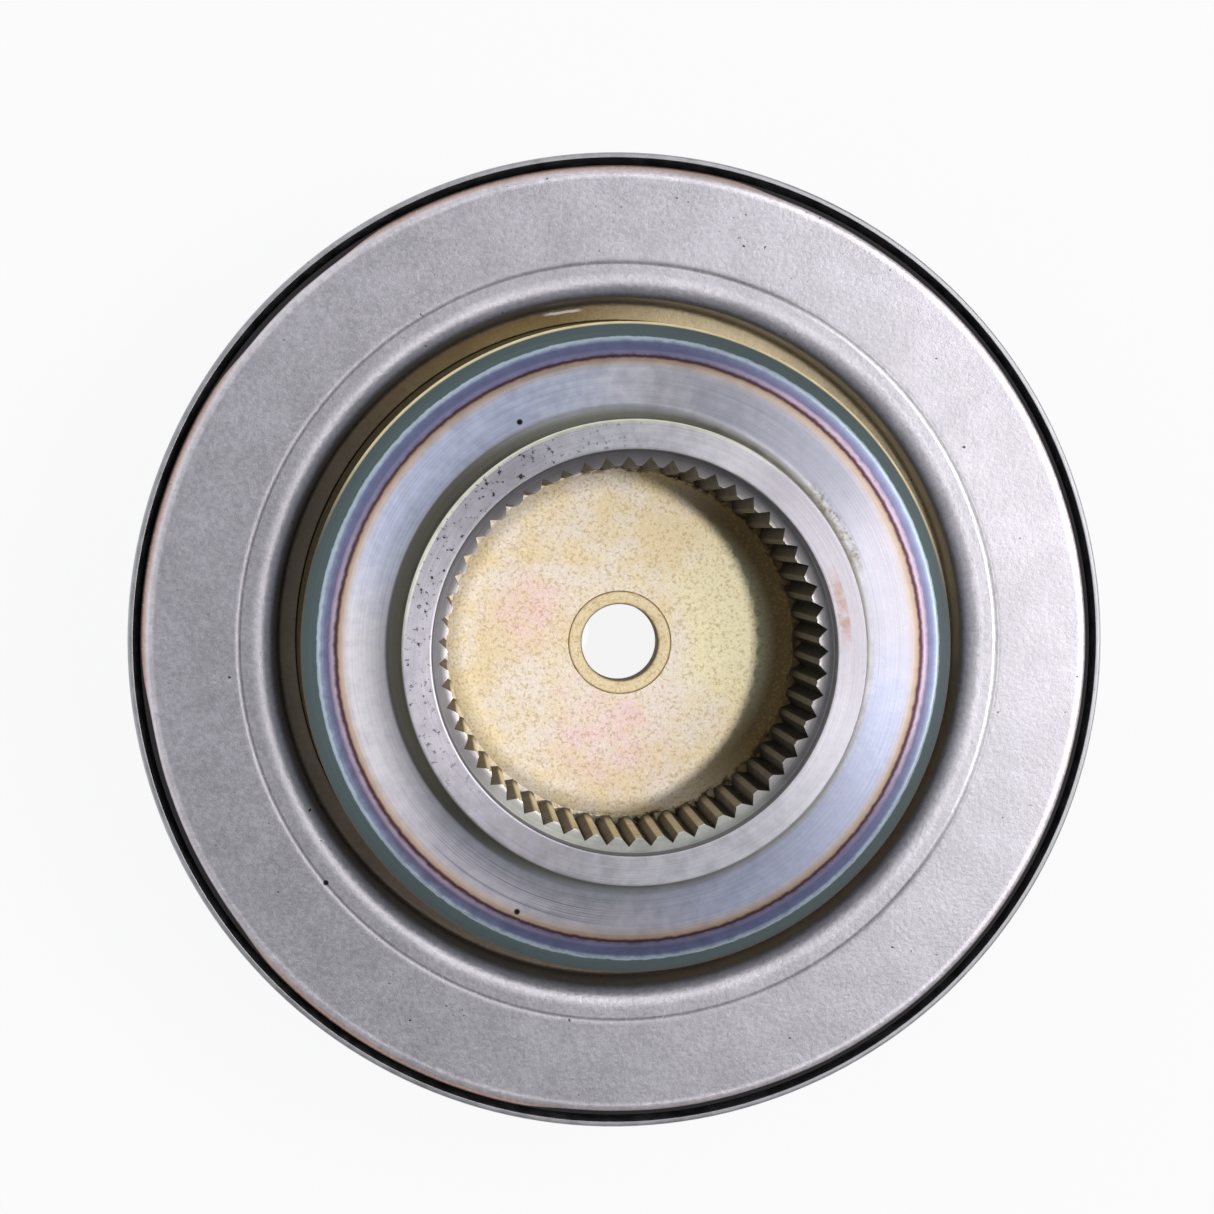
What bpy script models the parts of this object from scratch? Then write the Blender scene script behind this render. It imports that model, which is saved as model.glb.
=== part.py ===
"""Planetary gear set in a splined clutch drum, lying on the drum's lower rim, axis along +Z.

The drum carries a splined hub and a sliding piston on its front face, and holds a ring gear,
a carrier with planets and a sun gear in the skirt behind its web.
"""

from math import acos, cos, degrees, pi, radians, sin, tan

import bmesh
import bpy

MM = 0.001

# Clearances
FIT_GAP = 0.3 * MM  # between pieces that are seated, pressed or bonded together
RUN_GAP = 0.4 * MM  # between flat faces that turn or slide on each other
CARRIER_GAP = 1.5 * MM  # around the carrier's front plate, inside the drum

# Gear train
MODULE = 2.0 * MM
PRESSURE_ANGLE = radians(20.0)
SUN_TEETH = 32
PLANET_TEETH = 18
PLANET_COUNT = 4
BACKLASH = 0.2 * MM  # taken off the tooth thickness of each gear
GEAR_FACE = 17.0 * MM
RING_FACE_MARGIN = 1.25 * MM  # of the ring gear's face past each end of the planets
RING_RIM = 5.9 * MM  # material behind the ring gear's roots
ADDENDUM = 1.0  # in modules
DEDENDUM = 1.25  # in modules

# Sun gear
SUN_WALL = 10.1 * MM  # from the roots of its internal spline to the roots of its teeth
SUN_SPLINE_TEETH = 24
SUN_SPLINE_DEPTH = 1.4 * MM
SUN_WASHER_INSET = 1.8 * MM  # of the sun's washers inside the roots of its teeth

# Carrier
CARRIER_PLATE = 3.4 * MM
CARRIER_OPENING_MARGIN = 3.0 * MM  # from the sun's spline roots out to the plates' openings
FRONT_PLATE_OVERLAP = 5.5 * MM  # of the front plate over the ring gear's teeth
REAR_PLATE_INSET = 3.0 * MM  # of the rear plate inside the ring gear's teeth
DOG_COUNT = 8  # slots around the rear plate's opening
DOG_WIDTH = 6.0 * MM
DOG_DEPTH = 4.0 * MM
WINDOW_RADIUS = 6.5 * MM  # of the oil windows in the rear plate, two for each planet
WINDOW_INSET = 6.0 * MM  # of their circle inside the pin circle
PILLAR_RADIUS = 6.5 * MM
RIVET_RADIUS = 3.0 * MM
RIVET_HEAD_RADIUS = 5.0 * MM
RIVET_HEAD_HEIGHT = 1.2 * MM
SKIRT_OVERHANG = 0.5 * MM  # of the drum's skirt below the rivet heads

# Planets
PIN_RADIUS = 6.0 * MM
PIN_CHAMFER = 0.6 * MM
NEEDLE_DIAMETER = 2.2 * MM
NEEDLE_COUNT = 10
CAGE_INSET = 0.35 * MM  # of the cage bars inside the needles
CAGE_SHORTENING = 0.6 * MM  # of the cage at each end of the planet's bore
WASHER_THICKNESS = 1.0 * MM
PLANET_WASHER_WIDTH = 6.5 * MM

# Drum
SKIRT_WALL = 2.7 * MM
BAND_STEP = 2.0 * MM  # height of the slope between the skirt and the band around the piston
RIM_LAND = 0.9 * MM
RIM_LEAD_IN = 2.6 * MM  # height of the chamfer inside the rim
BORE_WALL = 1.6 * MM  # of the drum around the piston
WEB = 3.4 * MM
EDGE_CHAMFER = 0.5 * MM
SNAP_RING_HEIGHT = 1.5 * MM
SNAP_RING_WIDTH = 3.6 * MM
SNAP_RING_GROOVE = 1.2 * MM  # depth of its groove in the skirt
SNAP_RING_OPENING = 7.0 * MM
THRUST_WASHER = 1.8 * MM
THRUST_WASHER_WIDTH = 10.0 * MM
THRUST_INSET = 8.0 * MM  # from the carrier's opening out to the thrust washer

# Spline hub
SPLINE_TEETH = 55
SPLINE_TIP_RADIUS = 28.3 * MM
SPLINE_DEPTH = 1.35 * MM
SPLINE_TIP_LAND = 0.27  # share of the tooth pitch
SHOULDER_WIDTH = 0.95 * MM  # from the spline roots out to the collar's bore
SHOULDER_DEPTH = 3.3 * MM
COLLAR_WALL = 4.6 * MM
COLLAR_CHAMFER = 0.4 * MM
COLLAR_HEIGHT = 11.8 * MM  # above the annulus
COLLAR_FILLET = 3.0 * MM
ANNULUS_WIDTH = 7.2 * MM
TINT_BAND_WIDTH = 2.9 * MM
TINT_BAND_DROP = 0.6 * MM
BEVEL_WIDTH = 2.8 * MM
BEVEL_DROP = 4.6 * MM
HUB_HEIGHT = 35.2 * MM  # from the web up to the annulus
HUB_SKIRT_WALL = 5.6 * MM
HUB_FLANGE = 6.5 * MM  # thickness under the annulus
HUB_TUBE_CLEARANCE = 3.0 * MM  # from the web up to the spline tube's lower end

# End plate and pilot bush
PLATE_LIFT = 5.0 * MM  # from the web up to the plate's underside
PLATE_THICKNESS = 6.0 * MM
PLATE_SEAT = 0.7 * MM  # depth of its seat behind the spline's roots
DISH_RADIUS = 5.0 * MM  # of the fillet around the plate's floor
DISH_RISE = 2.2 * MM
BUSH_BORE_RADIUS = 6.25 * MM
BUSH_WALL = 2.15 * MM

# Piston and its seals
PISTON_SHEET = 2.5 * MM
PISTON_STANDOFF = 0.5 * MM  # from the web, when retracted
PISTON_PROUD = 2.0 * MM  # of its face above the drum's rim
WELL_DEPTH = 10.0 * MM
WELL_WIDTH = 5.3 * MM
LIP_RADIUS = 3.0 * MM  # of the turned-down lip
LIP_LAND = 2.9 * MM  # from the lip's roll out to the step
LIP_STEP = 0.5 * MM
FACE_WIDTH = 11.3 * MM  # flat, from the step out to the rolled edge
EDGE_RADIUS = 2.8 * MM  # of the rolled outer edge
EDGE_SKIRT = 2.0 * MM  # straight stretch below the roll
OUTER_SEAL_LIP = 0.9 * MM
OUTER_SEAL_DROP = 3.0 * MM  # of the lip's top below the face
OUTER_SEAL_FOOT = 2.6 * MM
INNER_SEAL_LIP = 1.5 * MM
INNER_SEAL_HEIGHT = 4.2 * MM

# Fineness of the facets
ROUND = 40
WASHER_ROUND = 24
BORE_ROUND = 20
PIN_ROUND = 14
RIVET_ROUND = 10
ARC_STEPS = 3
OPENING_STEPS = 2  # along the opening's edge between two dog slots
SHARP_ANGLE = radians(30.0)  # edges sharper than this stay crisp

# Radii that follow from the gear train
RING_TEETH = SUN_TEETH + 2 * PLANET_TEETH
PIN_CIRCLE = MODULE * (SUN_TEETH + PLANET_TEETH) / 2
RING_PITCH_RADIUS = MODULE * RING_TEETH / 2
RING_TIP_RADIUS = RING_PITCH_RADIUS - ADDENDUM * MODULE
RING_ROOT_RADIUS = RING_PITCH_RADIUS + DEDENDUM * MODULE
RING_OUTER_RADIUS = RING_ROOT_RADIUS + RING_RIM
SKIRT_RADIUS = RING_OUTER_RADIUS + FIT_GAP
SKIRT_OUTER_RADIUS = SKIRT_RADIUS + SKIRT_WALL
SUN_ROOT_RADIUS = MODULE * (SUN_TEETH / 2 - DEDENDUM)
SUN_SPLINE_ROOT = SUN_ROOT_RADIUS - SUN_WALL
RING_FACE = GEAR_FACE + 2 * RING_FACE_MARGIN
FRONT_PLATE_RADIUS = RING_TIP_RADIUS + FRONT_PLATE_OVERLAP
REAR_PLATE_RADIUS = RING_TIP_RADIUS - REAR_PLATE_INSET
OPENING_RADIUS = SUN_SPLINE_ROOT + CARRIER_OPENING_MARGIN
THRUST_INNER_RADIUS = OPENING_RADIUS + THRUST_INSET
PLANET_BORE_RADIUS = PIN_RADIUS + NEEDLE_DIAMETER + 2 * FIT_GAP

# Radii that follow from the spline
SPLINE_ROOT_RADIUS = SPLINE_TIP_RADIUS + SPLINE_DEPTH
COLLAR_BORE_RADIUS = SPLINE_ROOT_RADIUS + SHOULDER_WIDTH
COLLAR_RADIUS = COLLAR_BORE_RADIUS + COLLAR_WALL
ANNULUS_RADIUS = COLLAR_RADIUS + COLLAR_FILLET + ANNULUS_WIDTH
TINT_RADIUS = ANNULUS_RADIUS + TINT_BAND_WIDTH
HUB_RADIUS = TINT_RADIUS + BEVEL_WIDTH
PLATE_SEAT_RADIUS = SPLINE_ROOT_RADIUS + PLATE_SEAT
BUSH_RADIUS = BUSH_BORE_RADIUS + BUSH_WALL

# Radii of the piston around the hub, and of the band of the drum around the piston
WELL_RADIUS = HUB_RADIUS + WELL_WIDTH
PISTON_INNER_RADIUS = HUB_RADIUS + INNER_SEAL_LIP + 2 * FIT_GAP
ROLL_RADIUS = WELL_RADIUS + LIP_RADIUS
STEP_RADIUS = ROLL_RADIUS + LIP_LAND
PISTON_RADIUS = STEP_RADIUS + LIP_STEP + FACE_WIDTH + EDGE_RADIUS
BORE_RADIUS = PISTON_RADIUS + OUTER_SEAL_LIP + 2 * FIT_GAP
BAND_RADIUS = BORE_RADIUS + BORE_WALL

# Heights, stacked up from the drum's lower rim
REAR_PLATE_BOTTOM = SKIRT_OVERHANG + RIVET_HEAD_HEIGHT + FIT_GAP
REAR_PLATE_TOP = REAR_PLATE_BOTTOM + CARRIER_PLATE
REAR_WASHER_BOTTOM = REAR_PLATE_TOP + FIT_GAP
GEAR_BOTTOM = REAR_WASHER_BOTTOM + WASHER_THICKNESS + RUN_GAP
GEAR_TOP = GEAR_BOTTOM + GEAR_FACE
FRONT_WASHER_BOTTOM = GEAR_TOP + RUN_GAP
FRONT_PLATE_BOTTOM = FRONT_WASHER_BOTTOM + WASHER_THICKNESS + FIT_GAP
FRONT_PLATE_TOP = FRONT_PLATE_BOTTOM + CARRIER_PLATE
THRUST_BOTTOM = FRONT_PLATE_TOP + RUN_GAP
WEB_BOTTOM = THRUST_BOTTOM + THRUST_WASHER + FIT_GAP
WEB_TOP = WEB_BOTTOM + WEB
RING_TOP = FRONT_PLATE_BOTTOM - RUN_GAP
RING_BOTTOM = RING_TOP - RING_FACE
SNAP_RING_TOP = RING_BOTTOM - FIT_GAP
SNAP_RING_BOTTOM = SNAP_RING_TOP - SNAP_RING_HEIGHT
PISTON_BOTTOM = WEB_TOP + PISTON_STANDOFF
WELL_BOTTOM = PISTON_BOTTOM + PISTON_SHEET
PISTON_FACE = WELL_BOTTOM + WELL_DEPTH
RIM_TOP = PISTON_FACE - PISTON_PROUD
HUB_BOTTOM = WEB_TOP + FIT_GAP
TUBE_BOTTOM = WEB_TOP + HUB_TUBE_CLEARANCE
ANNULUS_TOP = WEB_TOP + HUB_HEIGHT
COLLAR_TOP = ANNULUS_TOP + COLLAR_HEIGHT
SHOULDER_TOP = COLLAR_TOP - SHOULDER_DEPTH
PLATE_BOTTOM = WEB_TOP + PLATE_LIFT
FLOOR_TOP = PLATE_BOTTOM + PLATE_THICKNESS
PLATE_RIM_TOP = FLOOR_TOP + DISH_RISE
SPLINE_BOTTOM = PLATE_RIM_TOP + FIT_GAP


def clear_scene():
    for thing in list(bpy.data.objects):
        bpy.data.objects.remove(thing, do_unlink=True)


def make_material(name, colour, roughness, metallic):
    material = bpy.data.materials.new(name)
    material.use_nodes = True
    shader = material.node_tree.nodes["Principled BSDF"]
    shader.inputs["Base Color"].default_value = (*colour, 1.0)
    shader.inputs["Roughness"].default_value = roughness
    shader.inputs["Metallic"].default_value = metallic
    return material


def make_axis(name, parent=None, location=(0.0, 0.0, 0.0)):
    axis = bpy.data.objects.new(name, None)
    bpy.context.collection.objects.link(axis)
    axis.parent = parent
    axis.location = location
    return axis


def finish(bm, name):
    """Turn a bmesh into a mesh with its faces pointing out and round faces shaded smooth."""
    bmesh.ops.recalc_face_normals(bm, faces=bm.faces)
    mesh = bpy.data.meshes.new(name)
    bm.to_mesh(mesh)
    bm.free()
    mesh.shade_smooth()
    mesh.set_sharp_from_angle(angle=SHARP_ANGLE)
    return mesh


def place(name, mesh, material, parent, location=(0.0, 0.0, 0.0), turn=0.0):
    """Put a mesh into the scene as a named piece on its axis."""
    piece = bpy.data.objects.new(name, mesh)
    if not mesh.materials:
        mesh.materials.append(material)
    bpy.context.collection.objects.link(piece)
    piece.parent = parent
    piece.location = location
    piece.rotation_euler = (0.0, 0.0, turn)
    return piece


def polar(radius, angle):
    return (radius * cos(angle), radius * sin(angle))


def shares(count):
    """Even steps from 0 up to 1, without the 1, in the nearest whole number to count."""
    whole = round(count)
    return [step / whole for step in range(whole)]


def arc(centre, radius, start, stop, steps=ARC_STEPS):
    """Points of an arc in a profile, both ends included, angles in degrees."""
    points = []
    for share in shares(steps) + [1.0]:
        across, up = polar(radius, radians(start + (stop - start) * share))
        points.append((centre[0] + across, centre[1] + up))
    return points


def circle(radius, count, centre=(0.0, 0.0)):
    outline = []
    for share in shares(count):
        x, y = polar(radius, 2 * pi * share)
        outline.append((centre[0] + x, centre[1] + y))
    return outline


def bridge(bm, first, second):
    """Join two rings of vertices, each a list of sectors, with one face for each edge or sector."""
    count = len(first)
    for index in range(count):
        after = (index + 1) % count
        low = first[index] + first[after][:1]
        high = second[index] + second[after][:1]
        if len(low) == len(high):
            for step in range(len(low) - 1):
                bm.faces.new((low[step], low[step + 1], high[step + 1], high[step]))
        else:
            bm.faces.new(low + high[::-1])


def turned(name, rings, segments):
    """Closed ring turned about the axis, from a closed profile of (radius, height) points.

    A function in place of a radius gives the points of one sector, for toothed rings.
    """
    bm = bmesh.new()
    built = []
    for radius, height in rings:
        ring = []
        for share in shares(segments):
            angle = 2 * pi * share
            points = radius(angle) if callable(radius) else [polar(radius, angle)]
            ring.append([bm.verts.new((x, y, height)) for x, y in points])
        built.append(ring)
    for first, second in zip(built, built[1:] + built[:1]):
        bridge(bm, first, second)
    return finish(bm, name)


def turned_solid(name, profile, segments):
    """Solid turned about its own axis, from an open profile that runs between its two end faces."""
    bm = bmesh.new()
    built = []
    for radius, height in profile:
        built.append([[bm.verts.new((x, y, height))] for x, y in circle(radius, segments)])
    for first, second in zip(built, built[1:]):
        bridge(bm, first, second)
    for end in (built[0], built[-1]):
        bm.faces.new([sector[0] for sector in end])
    return finish(bm, name)


def tube(name, inner, outer, bottom, top, segments):
    return turned(name, [(outer, top), (outer, bottom), (inner, bottom), (inner, top)], segments)


def prism(name, outlines, bottom, top):
    """Straight piece from a flat outline, the first in the list, and the holes in it."""
    bm = bmesh.new()
    levels = []
    for height in (bottom, top):
        loops = []
        edges = []
        for outline in outlines:
            loop = [bm.verts.new((x, y, height)) for x, y in outline]
            edges += [bm.edges.new(pair) for pair in zip(loop, loop[1:] + loop[:1])]
            loops.append([[vertex] for vertex in loop])
        bmesh.ops.triangle_fill(bm, use_beauty=True, edges=edges)
        levels.append(loops)
    for low, high in zip(*levels):
        bridge(bm, low, high)
    return finish(bm, name)


def involute(radius, base):
    angle = acos(min(1.0, base / radius))
    return tan(angle) - angle


def gear_outline(teeth, tip, root, thinning, turn=0.0):
    """Outline of an involute gear with a tooth at the angle turn: six points for each tooth."""
    pitch = MODULE * teeth / 2
    base = pitch * cos(PRESSURE_ANGLE)
    half = pi / (2 * teeth) - thinning / (2 * pitch)
    foot = max(root, base)
    levels = [(root, foot), ((foot + tip) / 2, (foot + tip) / 2), (tip, tip)]
    outline = []
    for tooth in range(teeth):
        middle = turn + 2 * pi * tooth / teeth
        for side in (-1, 1):
            for radius, flank in levels[::-side]:
                offset = half + involute(pitch, base) - involute(flank, base)
                outline.append(polar(radius, middle + side * offset))
    return outline


def spline_sector(angle):
    """One pitch of the hub's spline: a pointed root at the given angle, then the flat tip."""
    pitch = 2 * pi / SPLINE_TEETH
    flank = pitch * (1 - SPLINE_TIP_LAND) / 2
    return [
        polar(SPLINE_ROOT_RADIUS, angle),
        polar(SPLINE_TIP_RADIUS, angle + flank),
        polar(SPLINE_TIP_RADIUS, angle + pitch - flank),
    ]


def slotted_outline(tip, root, count, slot, steps=1):
    """Round outline with notches of the angle slot, cut outward from the tip circle."""
    outline = []
    pitch = 2 * pi / count
    for index in range(count):
        start = index * pitch
        outline += [polar(root, start - slot / 2), polar(root, start + slot / 2)]
        for share in shares(steps) + [1.0]:
            outline.append(polar(tip, start + slot / 2 + (pitch - slot) * share))
    return outline


def planet_angles():
    """Angles nearest to even spacing at which every planet meshes with the sun and the ring."""
    places = SUN_TEETH + RING_TEETH
    return [2 * pi * round(index * places / PLANET_COUNT) / places for index in range(PLANET_COUNT)]


def planet_turn(angle):
    """Turn that puts a planet's tooth space on the sun's tooth."""
    return angle + pi - (2 * pi / PLANET_TEETH) * (0.5 - angle * SUN_TEETH / (2 * pi))


def ring_turn():
    """Turn that puts a tooth space of the ring on the outer tooth of the first planet."""
    angle = planet_angles()[0]
    return angle - (angle - planet_turn(angle)) * PLANET_TEETH / RING_TEETH


def make_drum(axis):
    steel = make_material("drum_steel", (0.55, 0.55, 0.57), 0.35, 1.0)
    groove_top = SNAP_RING_TOP + FIT_GAP / 2
    groove_bottom = SNAP_RING_BOTTOM - FIT_GAP
    groove_radius = SKIRT_RADIUS + SNAP_RING_GROOVE
    shoulder = RING_TOP + FIT_GAP
    shoulder_radius = FRONT_PLATE_RADIUS + CARRIER_GAP
    band_is_wider = BAND_RADIUS > SKIRT_OUTER_RADIUS
    slope_top = WEB_BOTTOM if band_is_wider else WEB_TOP + BAND_STEP
    profile = [
        (BAND_RADIUS - RIM_LAND, RIM_TOP),
        (BAND_RADIUS, RIM_TOP),
        (BAND_RADIUS, slope_top),
        (SKIRT_OUTER_RADIUS, slope_top - BAND_STEP),
        (SKIRT_OUTER_RADIUS, EDGE_CHAMFER),
        (SKIRT_OUTER_RADIUS - EDGE_CHAMFER, 0.0),
        (SKIRT_RADIUS, 0.0),
        (SKIRT_RADIUS, groove_bottom),
        (groove_radius, groove_bottom),
        (groove_radius, groove_top),
        (SKIRT_RADIUS, groove_top),
        (SKIRT_RADIUS, shoulder),
        (shoulder_radius, shoulder),
        (shoulder_radius, WEB_BOTTOM),
        (THRUST_INNER_RADIUS, WEB_BOTTOM),
        (THRUST_INNER_RADIUS, WEB_TOP),
        (BORE_RADIUS, WEB_TOP),
        (BORE_RADIUS, RIM_TOP - RIM_LEAD_IN),
    ]
    place("clutch_drum", turned("clutch_drum", profile, ROUND), steel, axis)


def make_thrust_washer(axis):
    bronze = make_material("thrust_bronze", (0.62, 0.45, 0.25), 0.4, 1.0)
    outer = THRUST_INNER_RADIUS + THRUST_WASHER_WIDTH
    top = THRUST_BOTTOM + THRUST_WASHER
    washer = tube("carrier_thrust_washer", THRUST_INNER_RADIUS, outer, THRUST_BOTTOM, top, WASHER_ROUND)
    place("carrier_thrust_washer", washer, bronze, axis)


def make_hub(axis):
    steel = make_material("hub_steel", (0.66, 0.64, 0.70), 0.3, 1.0)
    fillet_centre = (COLLAR_RADIUS + COLLAR_FILLET, ANNULUS_TOP + COLLAR_FILLET)
    skirt_inner = HUB_RADIUS - HUB_SKIRT_WALL
    flange_bottom = ANNULUS_TOP - HUB_FLANGE
    rings = [
        (COLLAR_BORE_RADIUS + COLLAR_CHAMFER, COLLAR_TOP),
        (COLLAR_RADIUS - COLLAR_CHAMFER, COLLAR_TOP),
        (COLLAR_RADIUS, COLLAR_TOP - COLLAR_CHAMFER),
        *arc(fillet_centre, COLLAR_FILLET, 180.0, 270.0),
        (ANNULUS_RADIUS, ANNULUS_TOP),
        (TINT_RADIUS, ANNULUS_TOP - TINT_BAND_DROP),
        (HUB_RADIUS, ANNULUS_TOP - TINT_BAND_DROP - BEVEL_DROP),
        (HUB_RADIUS, HUB_BOTTOM),
        (skirt_inner, HUB_BOTTOM),
        (skirt_inner, flange_bottom),
        (COLLAR_RADIUS, flange_bottom),
        (COLLAR_RADIUS, TUBE_BOTTOM),
        (PLATE_SEAT_RADIUS, TUBE_BOTTOM),
        (PLATE_SEAT_RADIUS, SPLINE_BOTTOM),
        (spline_sector, SPLINE_BOTTOM),
        (spline_sector, SHOULDER_TOP),
        (COLLAR_BORE_RADIUS, SHOULDER_TOP),
        (COLLAR_BORE_RADIUS, COLLAR_TOP - COLLAR_CHAMFER),
    ]
    place("spline_hub", turned("spline_hub", rings, SPLINE_TEETH), steel, axis)


def make_end_plate(axis):
    gold = make_material("end_plate_gold", (0.80, 0.66, 0.42), 0.4, 0.8)
    bush_gold = make_material("pilot_bush_gold", (0.86, 0.76, 0.55), 0.35, 0.8)
    hole = BUSH_RADIUS + FIT_GAP
    fillet_turn = acos(1 - DISH_RISE / DISH_RADIUS)
    fillet_centre = (SPLINE_TIP_RADIUS - DISH_RADIUS * sin(fillet_turn), FLOOR_TOP + DISH_RADIUS)
    profile = [
        (PLATE_SEAT_RADIUS - FIT_GAP, PLATE_RIM_TOP),
        (PLATE_SEAT_RADIUS - FIT_GAP, PLATE_BOTTOM),
        (hole, PLATE_BOTTOM),
        (hole, FLOOR_TOP),
        *arc(fillet_centre, DISH_RADIUS, -90.0, -90.0 + degrees(fillet_turn)),
    ]
    place("end_plate", turned("end_plate", profile, ROUND), gold, axis)
    bush = tube("pilot_bush", BUSH_BORE_RADIUS, BUSH_RADIUS, PLATE_BOTTOM, FLOOR_TOP, BORE_ROUND)
    place("pilot_bush", bush, bush_gold, axis)


def make_ring_gear(axis):
    steel = make_material("ring_gear_steel", (0.50, 0.50, 0.52), 0.4, 1.0)
    spring = make_material("snap_ring_steel", (0.20, 0.20, 0.22), 0.45, 1.0)
    teeth = gear_outline(RING_TEETH, RING_ROOT_RADIUS, RING_TIP_RADIUS, -BACKLASH, ring_turn())
    outlines = [circle(RING_OUTER_RADIUS, ROUND), teeth]
    place("ring_gear", prism("ring_gear", outlines, RING_BOTTOM, RING_TOP), steel, axis)
    outer = SKIRT_RADIUS + SNAP_RING_GROOVE - 2 * FIT_GAP
    snap_ring = split_ring(outer - SNAP_RING_WIDTH, outer, SNAP_RING_OPENING / outer)
    mesh = prism("ring_gear_snap_ring", [snap_ring], SNAP_RING_BOTTOM, SNAP_RING_TOP)
    place("ring_gear_snap_ring", mesh, spring, axis)


def split_ring(inner, outer, gap):
    """Outline of a flat spring ring, open by the given angle."""
    angles = [gap / 2 + (2 * pi - gap) * share for share in shares(ROUND) + [1.0]]
    return [polar(outer, angle) for angle in angles] + [polar(inner, angle) for angle in angles[::-1]]


def make_piston(axis):
    steel = make_material("piston_steel", (0.60, 0.59, 0.64), 0.3, 1.0)
    rubber = make_material("piston_rubber", (0.015, 0.014, 0.016), 0.6, 0.0)
    inner_rubber = make_material("inner_seal_rubber", (0.05, 0.035, 0.02), 0.6, 0.0)
    lip_top = PISTON_FACE - LIP_STEP
    edge_bottom = PISTON_FACE - EDGE_RADIUS - EDGE_SKIRT
    underside = lip_top - PISTON_SHEET
    wall_back = WELL_RADIUS + PISTON_SHEET
    edge_back = PISTON_RADIUS - PISTON_SHEET
    profile = [
        (PISTON_RADIUS, edge_bottom),
        *arc((PISTON_RADIUS - EDGE_RADIUS, PISTON_FACE - EDGE_RADIUS), EDGE_RADIUS, 0.0, 90.0),
        (STEP_RADIUS + LIP_STEP, PISTON_FACE),
        (STEP_RADIUS, lip_top),
        *arc((ROLL_RADIUS, lip_top - LIP_RADIUS), LIP_RADIUS, 90.0, 180.0),
        (WELL_RADIUS, WELL_BOTTOM),
        (PISTON_INNER_RADIUS, WELL_BOTTOM),
        (PISTON_INNER_RADIUS, PISTON_BOTTOM),
        (wall_back, PISTON_BOTTOM),
        (wall_back, underside),
        (edge_back, underside),
        (edge_back, edge_bottom),
    ]
    place("piston", turned("piston", profile, ROUND), steel, axis)
    lip_outer = BORE_RADIUS - FIT_GAP
    lip_inner = PISTON_RADIUS + FIT_GAP
    foot_top = edge_bottom - FIT_GAP
    outer_seal = [
        (lip_inner, PISTON_FACE - OUTER_SEAL_DROP),
        (lip_outer, PISTON_FACE - OUTER_SEAL_DROP),
        (lip_outer, foot_top - OUTER_SEAL_FOOT),
        (edge_back, foot_top - OUTER_SEAL_FOOT),
        (edge_back, foot_top),
        (lip_inner, foot_top),
    ]
    place("piston_outer_seal", turned("piston_outer_seal", outer_seal, ROUND), rubber, axis)
    inner = HUB_RADIUS + FIT_GAP
    outer = PISTON_INNER_RADIUS - FIT_GAP
    seal_top = PISTON_BOTTOM + INNER_SEAL_HEIGHT
    inner_seal = tube("piston_inner_seal", inner, outer, PISTON_BOTTOM, seal_top, ROUND)
    place("piston_inner_seal", inner_seal, inner_rubber, axis)


def make_carrier(axis):
    steel = make_material("carrier_steel", (0.42, 0.42, 0.44), 0.45, 1.0)
    angles = planet_angles()
    between = [(a + b) / 2 for a, b in zip(angles, angles[1:] + [angles[0] + 2 * pi])]
    holes = [circle(PIN_RADIUS + FIT_GAP, PIN_ROUND, polar(PIN_CIRCLE, angle)) for angle in angles]
    holes += [circle(RIVET_RADIUS + FIT_GAP, RIVET_ROUND, polar(PIN_CIRCLE, angle)) for angle in between]
    front = [circle(FRONT_PLATE_RADIUS, ROUND), circle(OPENING_RADIUS, WASHER_ROUND), *holes]
    mesh = prism("carrier_front_plate", front, FRONT_PLATE_BOTTOM, FRONT_PLATE_TOP)
    place("carrier_front_plate", mesh, steel, axis)
    slot = DOG_WIDTH / OPENING_RADIUS
    dogs = slotted_outline(OPENING_RADIUS, OPENING_RADIUS + DOG_DEPTH, DOG_COUNT, slot, OPENING_STEPS)
    rear = [circle(REAR_PLATE_RADIUS, ROUND), dogs, *holes, *oil_windows(angles, between)]
    mesh = prism("carrier_rear_plate", rear, REAR_PLATE_BOTTOM, REAR_PLATE_TOP)
    place("carrier_rear_plate", mesh, steel, axis)
    make_pillars(axis, between, steel)


def oil_windows(pins, pillars):
    """Round windows in the rear plate, midway between each pin and the pillars beside it."""
    spots = []
    for pin, pillar, next_pin in zip(pins, pillars, pins[1:] + [pins[0] + 2 * pi]):
        spots += [(pin + pillar) / 2, (pillar + next_pin) / 2]
    reach = PIN_CIRCLE - WINDOW_INSET
    return [circle(WINDOW_RADIUS, PIN_ROUND, polar(reach, angle)) for angle in spots]


def make_pillars(axis, angles, pillar_steel):
    rivet_steel = make_material("rivet_steel", (0.36, 0.36, 0.38), 0.4, 1.0)
    bore = RIVET_RADIUS + FIT_GAP
    bottom = REAR_PLATE_TOP + FIT_GAP
    top = FRONT_PLATE_BOTTOM - FIT_GAP
    pillar = tube("carrier_pillar", bore, PILLAR_RADIUS, bottom, top, PIN_ROUND)
    low_seat = REAR_PLATE_BOTTOM - FIT_GAP
    high_seat = FRONT_PLATE_TOP + FIT_GAP
    profile = [
        (RIVET_HEAD_RADIUS, low_seat - RIVET_HEAD_HEIGHT),
        (RIVET_HEAD_RADIUS, low_seat),
        (RIVET_RADIUS, low_seat),
        (RIVET_RADIUS, high_seat),
        (RIVET_HEAD_RADIUS, high_seat),
        (RIVET_HEAD_RADIUS, high_seat + RIVET_HEAD_HEIGHT),
    ]
    rivet = turned_solid("carrier_rivet", profile, RIVET_ROUND)
    for number, angle in enumerate(angles, start=1):
        spot = (*polar(PIN_CIRCLE, angle), 0.0)
        place(f"carrier_pillar_{number}", pillar, pillar_steel, axis, spot)
        place(f"carrier_rivet_{number}", rivet, rivet_steel, axis, spot)


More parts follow.
